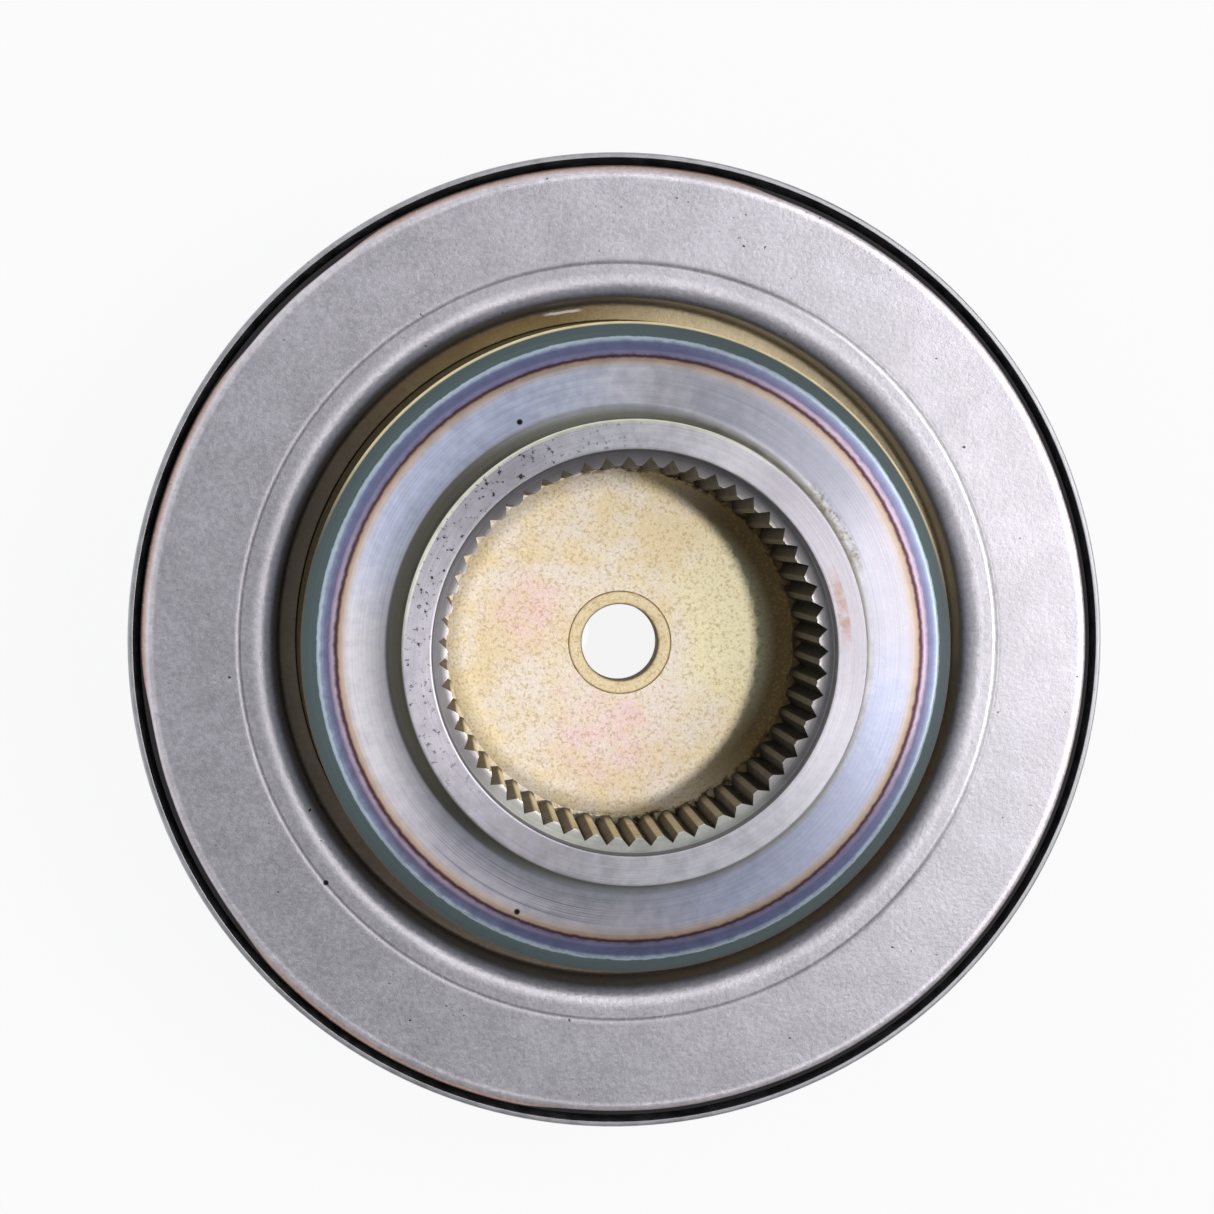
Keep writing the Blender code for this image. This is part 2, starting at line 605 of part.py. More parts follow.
def needle_outline(needle_reach, bar_reach):
    """Round outline that steps between the needles and the cage bars."""
    outline = []
    pitch = pi / NEEDLE_COUNT
    for index in range(NEEDLE_COUNT):
        middle = 2 * index * pitch
        outline += [polar(needle_reach, middle), polar(bar_reach, middle + pitch)]
    return outline


def make_planets(carrier_axis):
    steel = make_material("planet_steel", (0.52, 0.52, 0.54), 0.35, 1.0)
    pin_steel = make_material("pin_steel", (0.62, 0.62, 0.64), 0.25, 1.0)
    needle_steel = make_material("needle_steel", (0.58, 0.58, 0.60), 0.3, 1.0)
    bronze = make_material("planet_washer_bronze", (0.60, 0.44, 0.26), 0.4, 1.0)
    pitch_radius = MODULE * PLANET_TEETH / 2
    tip = pitch_radius + ADDENDUM * MODULE
    root = pitch_radius - DEDENDUM * MODULE
    outlines = [gear_outline(PLANET_TEETH, tip, root, BACKLASH), circle(PLANET_BORE_RADIUS, BORE_ROUND)]
    gear = prism("planet_gear", outlines, GEAR_BOTTOM, GEAR_TOP)
    needle_outer = PLANET_BORE_RADIUS - FIT_GAP
    needle_inner = PIN_RADIUS + FIT_GAP
    rings = [
        needle_outline(needle_outer, needle_outer - CAGE_INSET),
        needle_outline(needle_inner, needle_inner + CAGE_INSET),
    ]
    cage_bottom = GEAR_BOTTOM + CAGE_SHORTENING
    cage = prism("planet_needle_bearing", rings, cage_bottom, GEAR_TOP - CAGE_SHORTENING)
    pin_profile = [
        (PIN_RADIUS - PIN_CHAMFER, REAR_PLATE_BOTTOM),
        (PIN_RADIUS, REAR_PLATE_BOTTOM + PIN_CHAMFER),
        (PIN_RADIUS, FRONT_PLATE_TOP - PIN_CHAMFER),
        (PIN_RADIUS - PIN_CHAMFER, FRONT_PLATE_TOP),
    ]
    pin = turned_solid("planet_pin", pin_profile, PIN_ROUND)
    washer_inner = PIN_RADIUS + FIT_GAP
    washer_outer = washer_inner + PLANET_WASHER_WIDTH
    rear_top = REAR_WASHER_BOTTOM + WASHER_THICKNESS
    front_top = FRONT_WASHER_BOTTOM + WASHER_THICKNESS
    rear_washer = tube("rear_washer", washer_inner, washer_outer, REAR_WASHER_BOTTOM, rear_top, PIN_ROUND)
    front_washer = tube("front_washer", washer_inner, washer_outer, FRONT_WASHER_BOTTOM, front_top, PIN_ROUND)
    for number, angle in enumerate(planet_angles(), start=1):
        spot = (*polar(PIN_CIRCLE, angle), 0.0)
        planet_axis = make_axis(f"planet_axis_{number}", carrier_axis, spot)
        place(f"planet_gear_{number}", gear, steel, planet_axis, turn=planet_turn(angle))
        place(f"planet_needle_bearing_{number}", cage, needle_steel, planet_axis)
        place(f"planet_pin_{number}", pin, pin_steel, carrier_axis, spot)
        place(f"planet_washer_rear_{number}", rear_washer, bronze, carrier_axis, spot)
        place(f"planet_washer_front_{number}", front_washer, bronze, carrier_axis, spot)


def make_sun(axis, carrier_axis):
    steel = make_material("sun_steel", (0.54, 0.54, 0.56), 0.35, 1.0)
    bronze = make_material("sun_washer_bronze", (0.61, 0.45, 0.27), 0.4, 1.0)
    pitch_radius = MODULE * SUN_TEETH / 2
    tip = pitch_radius + ADDENDUM * MODULE
    spline_tip = SUN_SPLINE_ROOT - SUN_SPLINE_DEPTH
    bore = slotted_outline(spline_tip, SUN_SPLINE_ROOT, SUN_SPLINE_TEETH, pi / SUN_SPLINE_TEETH)
    outlines = [gear_outline(SUN_TEETH, tip, SUN_ROOT_RADIUS, BACKLASH), bore]
    place("sun_gear", prism("sun_gear", outlines, GEAR_BOTTOM, GEAR_TOP), steel, axis)
    inner = OPENING_RADIUS + FIT_GAP
    outer = SUN_ROOT_RADIUS - SUN_WASHER_INSET
    for name, bottom in (("rear", REAR_WASHER_BOTTOM), ("front", FRONT_WASHER_BOTTOM)):
        node = f"sun_washer_{name}"
        washer = tube(node, inner, outer, bottom, bottom + WASHER_THICKNESS, WASHER_ROUND)
        place(node, washer, bronze, carrier_axis)


def main():
    clear_scene()
    drum_axis = make_axis("drum_axis")
    piston_axis = make_axis("piston_axis", drum_axis)
    carrier_axis = make_axis("carrier_axis", drum_axis)
    sun_axis = make_axis("sun_axis", drum_axis)
    make_drum(drum_axis)
    make_thrust_washer(drum_axis)
    make_hub(drum_axis)
    make_end_plate(drum_axis)
    make_ring_gear(drum_axis)
    make_piston(piston_axis)
    make_carrier(carrier_axis)
    make_planets(carrier_axis)
    make_sun(sun_axis, carrier_axis)


main()
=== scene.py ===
"""Looks of the planetary gear set in its splined drum: fine meshes, finishes, floor, light and camera."""

from math import acos, cos, degrees, pi, radians, sin, tan

import bmesh
import bpy
from mathutils import Matrix, Vector


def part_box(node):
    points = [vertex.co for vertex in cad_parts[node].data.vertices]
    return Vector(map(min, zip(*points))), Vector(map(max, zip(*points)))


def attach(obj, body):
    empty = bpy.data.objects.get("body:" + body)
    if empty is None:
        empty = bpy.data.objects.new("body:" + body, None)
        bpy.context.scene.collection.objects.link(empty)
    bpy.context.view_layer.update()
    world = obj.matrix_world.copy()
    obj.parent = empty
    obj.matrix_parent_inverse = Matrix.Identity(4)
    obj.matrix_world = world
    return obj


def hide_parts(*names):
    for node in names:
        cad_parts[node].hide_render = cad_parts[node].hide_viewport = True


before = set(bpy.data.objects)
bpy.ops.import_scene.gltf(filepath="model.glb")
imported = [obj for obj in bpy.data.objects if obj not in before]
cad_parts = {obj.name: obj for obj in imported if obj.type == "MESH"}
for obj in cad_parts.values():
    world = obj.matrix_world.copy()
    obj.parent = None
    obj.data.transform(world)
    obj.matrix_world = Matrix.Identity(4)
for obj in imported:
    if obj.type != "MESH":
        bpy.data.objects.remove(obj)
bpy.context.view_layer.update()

MM = 0.001

# Fineness of the meshes
SEGMENTS = 192
WASHER_SEGMENTS = 96  # also around the bores of planets and carrier
PIN_SEGMENTS = 48
NEEDLE_SEGMENTS = 16
CORNER_STEPS = 4
CORNER_SHARE = 0.48  # the most of an edge that the rounding at one of its ends takes
ROLL_STEPS = 12
SLOT_STEPS = 4  # along the bottom of a slot
SECTOR_STEPS = 5  # points on a round ring for each tooth of the spline
FLANK_STEPS = 5
SHARP_ANGLE = radians(40.0)

# Camera: the photograph's frame is square, looked at from above and a little to the upper left
CAMERA_SPOT = (-29.5 * MM, 19.8 * MM, 478.0 * MM)
CAMERA_AIM = (-2.1 * MM, 5.8 * MM, 46.1 * MM)
LENS_MM = 78.4
SENSOR_MM = 36.0
CLIP_START = 10.0 * MM

# Light: a panel on the right, a narrow beam into the spline, and a sky that is brighter at the upper left
PANEL_SPOT = (0.722, 0.125, 1.05)
PANEL_SIZE = (0.956, 0.85)
PANEL_POWER = 7.2
PANEL_COLOUR = (1.0, 0.97, 0.98)
BEAM_SPOT = (0.19, 0.0, 1.0)
BEAM_POWER = 28.0
BEAM_ANGLE = radians(3.4)
BEAM_BLUR = 0.05
BEAM_SIZE = 0.001
SKY_COLOUR = (0.93, 0.95, 1.0)
SKY_BRIGHT_WAY = (-0.83, 0.55, 0.0)
SKY_RANGE = (0.08, 0.45)
SKY_DIM = 0.31
SKY_BRIGHT = 0.8
FLOOR_SIZE = 6.0
FLOOR_COLOUR = (0.93, 0.93, 0.93, 1.0)
FLOOR_ROUGHNESS = 0.9
FLOOR_GLOW = 0.9  # share of the floor's own white, for what the camera and the metal see

# Soft edges and small gaps
EDGE = 0.25 * MM
FINE_EDGE = 0.12 * MM
GAP = 0.15 * MM

# Drum
RIM_LAND = 0.9 * MM
RIM_LEAD_IN = 2.6 * MM
BORE_WALL = 1.6 * MM
SKIRT_STEP = 0.6 * MM  # of the skirt inside the band around the piston
SKIRT_SLOPE = 2.0 * MM
SKIRT_WALL = 2.7 * MM
BAND_BOTTOM = 31.7 * MM
WEB = 3.4 * MM
SHOULDER_INNER = 73.0 * MM
GROOVE_DEPTH = 1.2 * MM
SNAP_RING_WIDTH = 3.6 * MM
SNAP_RING_OPENING = radians(5.2)
THRUST_WASHER_WIDTH = 10.0 * MM

# Spline hub
SPLINE_TEETH = 55
SPLINE_TIP = 28.3 * MM
SPLINE_DEPTH = 1.35 * MM
SPLINE_TIP_LAND = 0.27  # share of the tooth pitch
SHOULDER_DEPTH = 3.3 * MM
COLLAR_BORE = 30.6 * MM
COLLAR_RADIUS = 35.2 * MM
COLLAR_EDGE = 0.4 * MM
COLLAR_HEIGHT = 11.8 * MM
COLLAR_FILLET = 3.0 * MM
ANNULUS_RADIUS = 45.4 * MM
TINT_RADIUS = 48.3 * MM
TINT_DROP = 0.6 * MM
TINT_EDGE = 0.3 * MM
BEVEL_DROP = 4.6 * MM
HUB_SKIRT_WALL = 5.6 * MM
HUB_FLANGE = 6.5 * MM
TUBE_LIFT = 2.7 * MM

# End plate and pilot bush
DISH_RADIUS = 5.0 * MM
DISH_RISE = 2.2 * MM
BUSH_BORE = 6.25 * MM
BUSH_GAP = 0.04 * MM

# Piston and its seals
PISTON_INNER = 53.2 * MM
PISTON_SHEET = 2.5 * MM
WELL_RADIUS = 56.4 * MM
LIP_WIDTH = 5.5 * MM  # from the well to the step
LIP_ROLL = 3.4 * MM  # the part of it that curves down into the well
LIP_DROP = 2.9 * MM
LIP_STEP = 0.14 * MM
LIP_STEP_WIDTH = 0.5 * MM
EDGE_RADIUS = 1.9 * MM
EDGE_SWELL = 0.95 * MM  # of the rolled edge over the rubber bonded to it
EDGE_SKIRT = 2.9 * MM
INNER_SEAL_GAP = 0.3 * MM

# Gear train
MODULE = 2.0 * MM
PRESSURE_ANGLE = radians(20.0)
SUN_TEETH = 32
PLANET_TEETH = 18
RING_TEETH = 68
ADDENDUM = 1.0  # in modules
DEDENDUM = 1.25  # in modules
BACKLASH = 0.2 * MM
ROOT_ROUNDING = 0.5 * MM
TIP_ROUNDING = 0.15 * MM
GEAR_CHAMFER = 0.35 * MM
SUN_BORE = 18.0 * MM
SUN_SPLINE_DEPTH = 1.4 * MM
SUN_SPLINE_TEETH = 24

# Carrier
PLANET_NUMBERS = range(1, 5)
PIN_CIRCLE = 50.0 * MM
OPENING_RADIUS = 22.4 * MM
OPENING_STEPS = 8  # along an opening's edge between two slots
DOG_COUNT = 8
DOG_WIDTH = 6.0 * MM
DOG_DEPTH = 4.0 * MM
WINDOW_COUNT = 8
WINDOW_RADIUS = 6.5 * MM
WINDOW_CIRCLE = 44.0 * MM
RIVET_RADIUS = 3.0 * MM
RIVET_HEAD = 1.2 * MM
RIVET_TIP = radians(4.0)  # the flat in the middle of a head, as an angle of its dome
PLATE_CHAMFER = 0.35 * MM

# Planet bearings, pins and washers
PIN_RADIUS = 6.0 * MM
PIN_CHAMFER = 0.6 * MM
PIN_DIMPLE = 1.7 * MM
PIN_DIMPLE_DEPTH = 0.9 * MM
PIN_DIMPLE_FLAT = PIN_DIMPLE / 8  # at its bottom
PLANET_BORE = 8.8 * MM
NEEDLE_COUNT = 14
NEEDLE_RADIUS = 1.05 * MM
NEEDLE_CIRCLE = 7.4 * MM
CAGE_HEIGHT = 1.0 * MM
CAGE_HALF_WIDTH = 0.8 * MM
WASHER_BORE = 6.3 * MM
SUN_WASHER_BORE = 22.7 * MM


def extent(node):
    """Outer radius, lowest and highest point of a node that is centred on the axis."""
    low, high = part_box(node)
    return high.x, low.z, high.z


def heights(node):
    """Lowest and highest point of a node."""
    low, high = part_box(node)
    return low.z, high.z


def half_width(node):
    """Outer radius of a round node, wherever it stands."""
    low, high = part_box(node)
    return (high.x - low.x) / 2


def polar(radius, angle, centre=(0.0, 0.0)):
    """Point at a radius and an angle around a centre."""
    return (centre[0] + radius * cos(angle), centre[1] + radius * sin(angle))


def shares(count):
    """Even steps from 0 up to 1, without the 1."""
    return [step / count for step in range(count)]


def full_shares(count):
    """Even steps from 0 up to 1, both included."""
    return shares(count) + [1.0]


def quarter(number):
    """Angle of one of the four planets, numbered from 1."""
    return (number - 1) * pi / 2


def curve(start, corner, stop, steps):
    """Points of a smooth curve that leaves start and reaches stop heading along the corner between them."""
    points = []
    for share in full_shares(steps):
        points.append(start.lerp(corner, share).lerp(corner.lerp(stop, share), share))
    return points


def rounded(corners):
    """Closed outline through (across, up, rounding) corners, each rounding drawn as a smooth curve."""
    points = []
    for index, (across, up, rounding) in enumerate(corners):
        here = Vector((across, up))
        before = Vector(corners[index - 1][:2]) - here
        after = Vector(corners[(index + 1) % len(corners)][:2]) - here
        start = here + before.normalized() * min(rounding, before.length * CORNER_SHARE)
        stop = here + after.normalized() * min(rounding, after.length * CORNER_SHARE)
        points += curve(start, here, stop, CORNER_STEPS) if rounding else [here]
    return [(point.x, point.y) for point in points]


def hoop(inner, outer, low, high, rounding):
    """Corners of a plain ring's section."""
    return [(inner, low, rounding), (outer, low, rounding), (outer, high, rounding), (inner, high, rounding)]


def sharp(points):
    """Outline points as corners without a rounding."""
    return [(across, up, 0.0) for across, up in points]


def arc(centre, radius, start, stop, steps=ROLL_STEPS):
    """Points of an arc, both ends included, angles in degrees."""
    turns = [radians(start + (stop - start) * share) for share in full_shares(steps)]
    return [polar(radius, turn, centre) for turn in turns]


def circle(radius, count, centre=(0.0, 0.0)):
    """Evenly spread points of a circle, anticlockwise."""
    return [polar(radius, 2 * pi * share, centre) for share in shares(count)]


def offset(outline, distance):
    """Outline moved to its left by the distance, mitred at the corners."""
    moved = []
    for index, point in enumerate(outline):
        here = Vector(point)
        back = (here - Vector(outline[index - 1])).normalized().orthogonal()
        ahead = (Vector(outline[(index + 1) % len(outline)]) - here).normalized().orthogonal()
        moved.append(tuple(here + (back + ahead) * (distance / (1.0 + back.dot(ahead)))))
    return moved


def involute(radius, base):
    """Angle by which an involute has swung away from its base circle at a radius."""
    angle = acos(min(1.0, base / radius))
    return tan(angle) - angle


def gear_outline(teeth, tip, root, thinning, turn, roundings):
    """Involute outline with a tooth at the angle turn; roundings are those of its roots and tips."""
    pitch = MODULE * teeth / 2
    base = pitch * cos(PRESSURE_ANGLE)
    half = pi / (2 * teeth) - thinning / (2 * pitch)
    foot = max(root, base)
    flank = [(foot + (tip - foot) * share, 0.0) for share in shares(FLANK_STEPS)]
    levels = [(root, roundings[0])] + flank[0 if root < foot else 1:] + [(tip, roundings[1])]
    corners = []
    for tooth in range(teeth):
        middle = turn + 2 * pi * tooth / teeth
        for side in (-1, 1):
            for radius, rounding in levels[::-side]:
                swing = half + involute(pitch, base) - involute(max(radius, foot), base)
                corners.append((*polar(radius, middle + side * swing), rounding))
    return rounded(corners)


def slotted_outline(tip, root, count, slot):
    """Round outline with notches of the angle slot, cut outward from the tip circle."""
    outline = []
    pitch = 2 * pi / count
    for index in range(count):
        start = index * pitch
        outline += [polar(root, start + slot * (share - 0.5)) for share in full_shares(SLOT_STEPS)]
        for share in full_shares(OPENING_STEPS):
            outline.append(polar(tip, start + slot / 2 + (pitch - slot) * share))
    return outline


def bridge(bm, first, second):
    """Join two rings of vertices, each a list of sectors, with one face for each edge or sector."""
    for index in range(len(first)):
        after = (index + 1) % len(first)
        low = first[index] + first[after][:1]
        high = second[index] + second[after][:1]
        if len(low) == len(high):
            for step in range(len(low) - 1):
                bm.faces.new((low[step], low[step + 1], high[step + 1], high[step]))
        else:
            bm.faces.new(low + high[::-1])


def lathe(bm, rings, segments=SEGMENTS):
    """Closed ring turned about the axis; a function in place of a radius gives a sector's points."""
    built = []
    for radius, height in rings:
        ring = []
        for share in shares(segments):
            angle = 2 * pi * share
            points = radius(angle) if callable(radius) else [polar(radius, angle)]
            ring.append([bm.verts.new((x, y, height)) for x, y in points])
        built.append(ring)
    for first, second in zip(built, built[1:] + built[:1]):
        bridge(bm, first, second)


def spindle(bm, profile, segments=PIN_SEGMENTS, spot=(0.0, 0.0)):
    """Solid turned about an upright axis at spot, from an open profile between its two flat ends."""
    built = []
    for radius, height in profile:
        ring = circle(radius, segments, spot)
        built.append([[bm.verts.new((x, y, height))] for x, y in ring])
    for first, second in zip(built, built[1:]):
        bridge(bm, first, second)
    for end in (built[0], built[-1]):
        bm.faces.new([sector[0] for sector in end])


def prism(bm, outer, holes, bottom, top, chamfer):
    """Straight piece with chamfered edges, from an outline and the holes in it, all anticlockwise."""
    levels = []
    for height, inset in ((bottom, chamfer), (bottom + chamfer, 0.0), (top - chamfer, 0.0), (top, chamfer)):
        outlines = [offset(outer, inset)] + [offset(hole, -inset) for hole in holes]
        loops = [[bm.verts.new((x, y, height)) for x, y in outline] for outline in outlines]
        if inset:
            edges = [bm.edges.new(pair) for loop in loops for pair in zip(loop, loop[1:] + loop[:1])]
            bmesh.ops.triangle_fill(bm, use_beauty=True, edges=edges)
        levels.append([[[vertex] for vertex in loop] for loop in loops])
    for low, high in zip(levels, levels[1:]):
        for first, second in zip(low, high):
            bridge(bm, first, second)


def piece(name, bm, body, slot, *nodes, spot=(0.0, 0.0), finish=None):
    """Turn a bmesh into a shown piece that rides on a body and stands for its nodes."""
    bmesh.ops.recalc_face_normals(bm, faces=bm.faces)
    mesh = bpy.data.meshes.new(name)
    bm.to_mesh(mesh)
    bm.free()
    mesh.shade_smooth()
    mesh.set_sharp_from_angle(angle=SHARP_ANGLE)
    mesh.materials.append(finishes[finish or slot])
    shown = bpy.data.objects.new(name, mesh)
    shown.location = (*spot, 0.0)
    bpy.context.scene.collection.objects.link(shown)
    normals = shown.modifiers.new("even_normals", "WEIGHTED_NORMAL")
    normals.keep_sharp = True
    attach(shown, body)
    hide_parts(*nodes)


def srgb(red, green, blue):
    """Scene colour of a screen colour given in 0 to 255."""
    channels = [value / 255.0 for value in (red, green, blue)]
    return [c / 12.92 if c <= 0.04045 else ((c + 0.055) / 1.055) ** 2.4 for c in channels] + [1.0]


class Finish:
    """A procedural material: each step adds nodes in front of one Principled shader.

    Places are in millimetres, and angles around the axis are in degrees.
    """

    # Colour sockets of a Mix node, which has several of the same name
    MIX_FIRST = 6
    MIX_SECOND = 7
    MIX_RESULT = 2
    QUARTER_TURN = 0.25  # as the shader counts it
    SCRATCH_GRAIN = (0.5, 6.0, 0.5)  # for each millimetre along and across a scratch

    def __init__(self, name, metallic, roughness):
        self.material = bpy.data.materials.new(name)
        self.material.use_nodes = True
        self.nodes = self.material.node_tree.nodes
        self.links = self.material.node_tree.links
        self.shader = self.nodes["Principled BSDF"]
        self.put("Metallic", metallic)
        self.put("Roughness", roughness)
        place = self.add("TexCoord").outputs["Object"]
        self.spot = self.vector("SCALE", place, scale=1.0 / MM)
        self.flat = self.vector("MULTIPLY", self.spot, (1.0, 1.0, 0.0))
        self.radius = self.vector("LENGTH", self.flat, output="Value")

    def add(self, kind, **settings):
        """New node of a kind, with some of its settings."""
        node = self.nodes.new("ShaderNode" + kind)
        for name, value in settings.items():
            setattr(node, name, value)
        return node

    def feed(self, socket, value):
        """Join a socket to another one, or set it to a constant."""
        if isinstance(value, bpy.types.NodeSocket):
            self.links.new(value, socket)
        else:
            socket.default_value = value

    def put(self, name, value):
        """Set or join one of the shader's own sockets."""
        self.feed(self.shader.inputs[name], value)

    def vector(self, operation, first, second=None, scale=None, output="Vector"):
        node = self.add("VectorMath", operation=operation)
        self.feed(node.inputs[0], first)
        if second is not None:
            self.feed(node.inputs[1], second)
        if scale is not None:
            self.feed(node.inputs["Scale"], scale)
        return node.outputs[output]

    def math(self, operation, first, second=0.0):
        node = self.add("Math", operation=operation)
        self.feed(node.inputs[0], first)
        self.feed(node.inputs[1], second)
        return node.outputs[0]

    def both(self, first, *others):
        """Product of several masks."""
        for other in others:
            first = self.math("MULTIPLY", first, other)
        return first

    def either(self, first, *others):
        """Largest of several masks."""
        for other in others:
            first = self.math("MAXIMUM", first, other)
        return first

    def height(self):
        """Height above the floor."""
        node = self.add("SeparateXYZ")
        self.feed(node.inputs[0], self.spot)
        return node.outputs["Z"]

    def remap(self, value, low, high, to_low=0.0, to_high=1.0):
        """Smooth, clamped change of range."""
        node = self.add("MapRange", interpolation_type="SMOOTHSTEP")
        for socket, number in zip(node.inputs, (value, low, high, to_low, to_high)):
            self.feed(socket, number)
        return node.outputs[0]

    def within(self, low, high, blur=0.3):
        """1 between two radii and 0 outside them."""
        inner = self.remap(self.radius, low - blur, low)
        return self.both(inner, self.remap(self.radius, high + blur, high))

    def noise(self, scale, detail=4.0, roughness=0.55, where=None):
        """Cloudy pattern from 0 to 1, its scale given for each millimetre."""
        node = self.add("TexNoise")
        self.feed(node.inputs["Vector"], self.spot if where is None else where)
        self.feed(node.inputs["Scale"], scale)
        self.feed(node.inputs["Detail"], detail)
        self.feed(node.inputs["Roughness"], roughness)
        return node.outputs[0]

    def rings(self, across, along, detail=4.0, roughness=0.6):
        """Pattern drawn out around the axis: fine across a face or up a wall, long along the turn."""
        turn = self.vector("SCALE", self.vector("NORMALIZE", self.flat), scale=along)
        lift = self.add("CombineXYZ")
        outward = self.math("ADD", self.radius, self.height())
        self.feed(lift.inputs["Z"], self.math("MULTIPLY", outward, across))
        return self.noise(1.0, detail, roughness, self.vector("ADD", turn, lift.outputs[0]))

    def scratches(self, angle, least):
        """Short thin marks that run at one angle; a higher least leaves fewer of them."""
        turn = self.add("VectorRotate", rotation_type="Z_AXIS")
        self.feed(turn.inputs["Vector"], self.spot)
        self.feed(turn.inputs["Angle"], radians(angle))
        drawn = self.vector("MULTIPLY", turn.outputs[0], self.SCRATCH_GRAIN)
        return self.remap(self.noise(1.0, 2.0, 0.5, drawn), least, least + 0.05)

    def side(self, angle, low, high):
        """1 towards the given angle around the axis and 0 away from it."""
        toward = (*polar(1.0, radians(angle)), 0.0)
        way = self.vector("DOT_PRODUCT", self.vector("NORMALIZE", self.flat), toward, output="Value")
        return self.remap(way, low, high)

    def mark(self, across, up, reach, blur=0.5):
        """1 in the middle of a round mark, fading to 0 at its reach in millimetres."""
        away = self.vector("DISTANCE", self.flat, (across, up, 0.0), output="Value")
        return self.remap(away, reach, (1.0 - blur) * reach)

    def bands(self, value, stops):
        """Colours by a measure, from stops that hold the measure and a screen colour."""
        low, high = stops[0][0], stops[-1][0]
        ramp = self.add("ValToRGB")
        share = self.add("MapRange")
        for socket, number in zip(share.inputs, (value, low, high, 0.0, 1.0)):
            self.feed(socket, number)
        self.links.new(share.outputs[0], ramp.inputs[0])
        elements = ramp.color_ramp.elements
        while len(elements) < len(stops):
            elements.new(1.0)
        for element, (place, *colour) in zip(elements, stops):
            element.position = (place - low) / (high - low)
            element.color = srgb(*colour)
        return ramp.outputs[0]

    def mix(self, share, first, second, blend="MIX"):
        node = self.add("Mix", data_type="RGBA", blend_type=blend)
        self.feed(node.inputs["Factor"], share)
        self.feed(node.inputs[self.MIX_FIRST], first)
        self.feed(node.inputs[self.MIX_SECOND], second)
        return node.outputs[self.MIX_RESULT]

    def shade(self, colour, pattern, depth):
        """Lighten and darken a colour by a pattern around one half."""
        level = self.remap(pattern, 0.25, 0.75, 1.0 - depth, 1.0 + depth)
        grey = self.add("CombineColor")
        for socket in grey.inputs:
            self.feed(socket, level)
        return self.mix(1.0, colour, grey.outputs[0], "MULTIPLY")

    def bump(self, height, depth):
        """Surface relief of the given depth in millimetres."""
        node = self.add("Bump")
        self.feed(node.inputs["Height"], height)
        self.feed(node.inputs["Distance"], depth * MM)
        self.put("Normal", node.outputs[0])

    def brush(self, amount):
        """Stretch the reflections across the marks that turning leaves."""
        self.put("Anisotropic", amount)
        self.put("Anisotropic Rotation", self.QUARTER_TURN)
        tangent = self.add("Tangent", direction_type="RADIAL", axis="Z")
        self.put("Tangent", tangent.outputs[0])


def turned_steel(name, colour, roughness, mottle=0.12, lines=0.12):
    """Plain turned or ground steel with fine rings, cloudy stains and small specks."""
    steel = Finish(name, 1.0, roughness)
    fine = steel.rings(4.0, 1.5)
    cloud = steel.noise(0.35, 6.0, 0.65)
    tone = steel.shade(steel.shade(colour, cloud, mottle), fine, lines)
    specks = steel.remap(steel.noise(0.9, 2.0, 0.5), 0.73, 0.78)
    steel.put("Base Color", steel.mix(specks, tone, srgb(60, 55, 52)))
    steel.put("Roughness", steel.remap(cloud, 0.3, 0.7, roughness - 0.07, roughness + 0.09))
    steel.bump(steel.math("ADD", fine, cloud), 0.02)
    return steel.material


def piston_steel():
    """Pressed grey sheet: fine grain, short scratches, painted highlights on its rolls, painted light and
    shade in the well, and a film of rubber on its edge.
    """
    steel = Finish("piston_steel", 1.0, 0.34)
    grain = steel.noise(1.3, 6.0, 0.7)
    cloud = steel.noise(0.13, 4.0, 0.6)
    tone = steel.shade(steel.shade(piston_tone(steel), cloud, 0.08), grain, 0.13)
    tone = mark_piston(steel, tone)
    film = rubber_film(steel)
    steel.put("Base Color", steel.mix(film, tone, srgb(24, 22, 25)))
    metal = steel.both(steel.remap(steel.radius, 57.0, 58.8, 0.8, 1.0), steel.remap(film, 1.0, 0.0))
    steel.put("Metallic", metal)
    dull = steel.remap(grain, 0.3, 0.7, 0.32, 0.42)
    steel.put("Roughness", steel.either(dull, steel.both(film, 0.8)))
    steel.bump(grain, 0.06)
    return steel.material


def piston_tone(steel):
    """Colours from the well out to the edge, with painted highlights on the rolls, painted shade in the
    step's crease, painted light and shade in the well, a smear in the well and a painted highlight on the
    step at the right.
    """
    tone = steel.bands(steel.radius, [
        (53.2, 156, 134, 92),
        (55.4, 146, 122, 78),
        (56.0, 146, 134, 114),
        # painted highlight: the roll down into the well is painted near white from 56.5 to 59.0
        (56.5, 210, 210, 212),
        (57.2, 228, 229, 234),
        (58.0, 244, 241, 246),
        (59.0, 232, 229, 235),
        (60.2, 198, 195, 201),
        (61.5, 196, 193, 199),
        # painted shade: a dark line in the step's crease
        (61.7, 140, 138, 142),
        (61.95, 150, 148, 152),
        (62.2, 198, 195, 201),
        (75.4, 198, 195, 201),
        # painted highlight on the rolled edge
        (75.9, 236, 231, 237),
        (76.6, 236, 229, 233),
        (77.0, 212, 188, 178),
        (77.5, 150, 118, 110),
    ])
    in_well = steel.remap(steel.radius, 56.6, 56.0)
    # painted light on the upper right of the well, and painted shade on its lower left
    tone = steel.mix(steel.both(in_well, steel.side(45.0, 0.55, 0.95)), tone, srgb(240, 222, 180))
    tone = steel.mix(steel.both(in_well, steel.side(205.0, -0.1, 0.7)), tone, srgb(136, 124, 108))
    smear_path = steel.math("ADD", steel.rings(0.0, 9.0), 54.75)
    aside = steel.math("ABSOLUTE", steel.math("SUBTRACT", steel.radius, smear_path))
    smear = steel.both(steel.mark(-9.0, 54.5, 3.8), steel.remap(aside, 0.30, 0.12))
    tone = steel.mix(smear, tone, srgb(246, 240, 226))
    # painted highlight on the step at the right, over its painted crease shade
    step_highlight = steel.both(steel.within(61.5, 62.4, 0.2), steel.side(15.0, 0.55, 0.9))
    return steel.mix(step_highlight, tone, srgb(252, 248, 252))


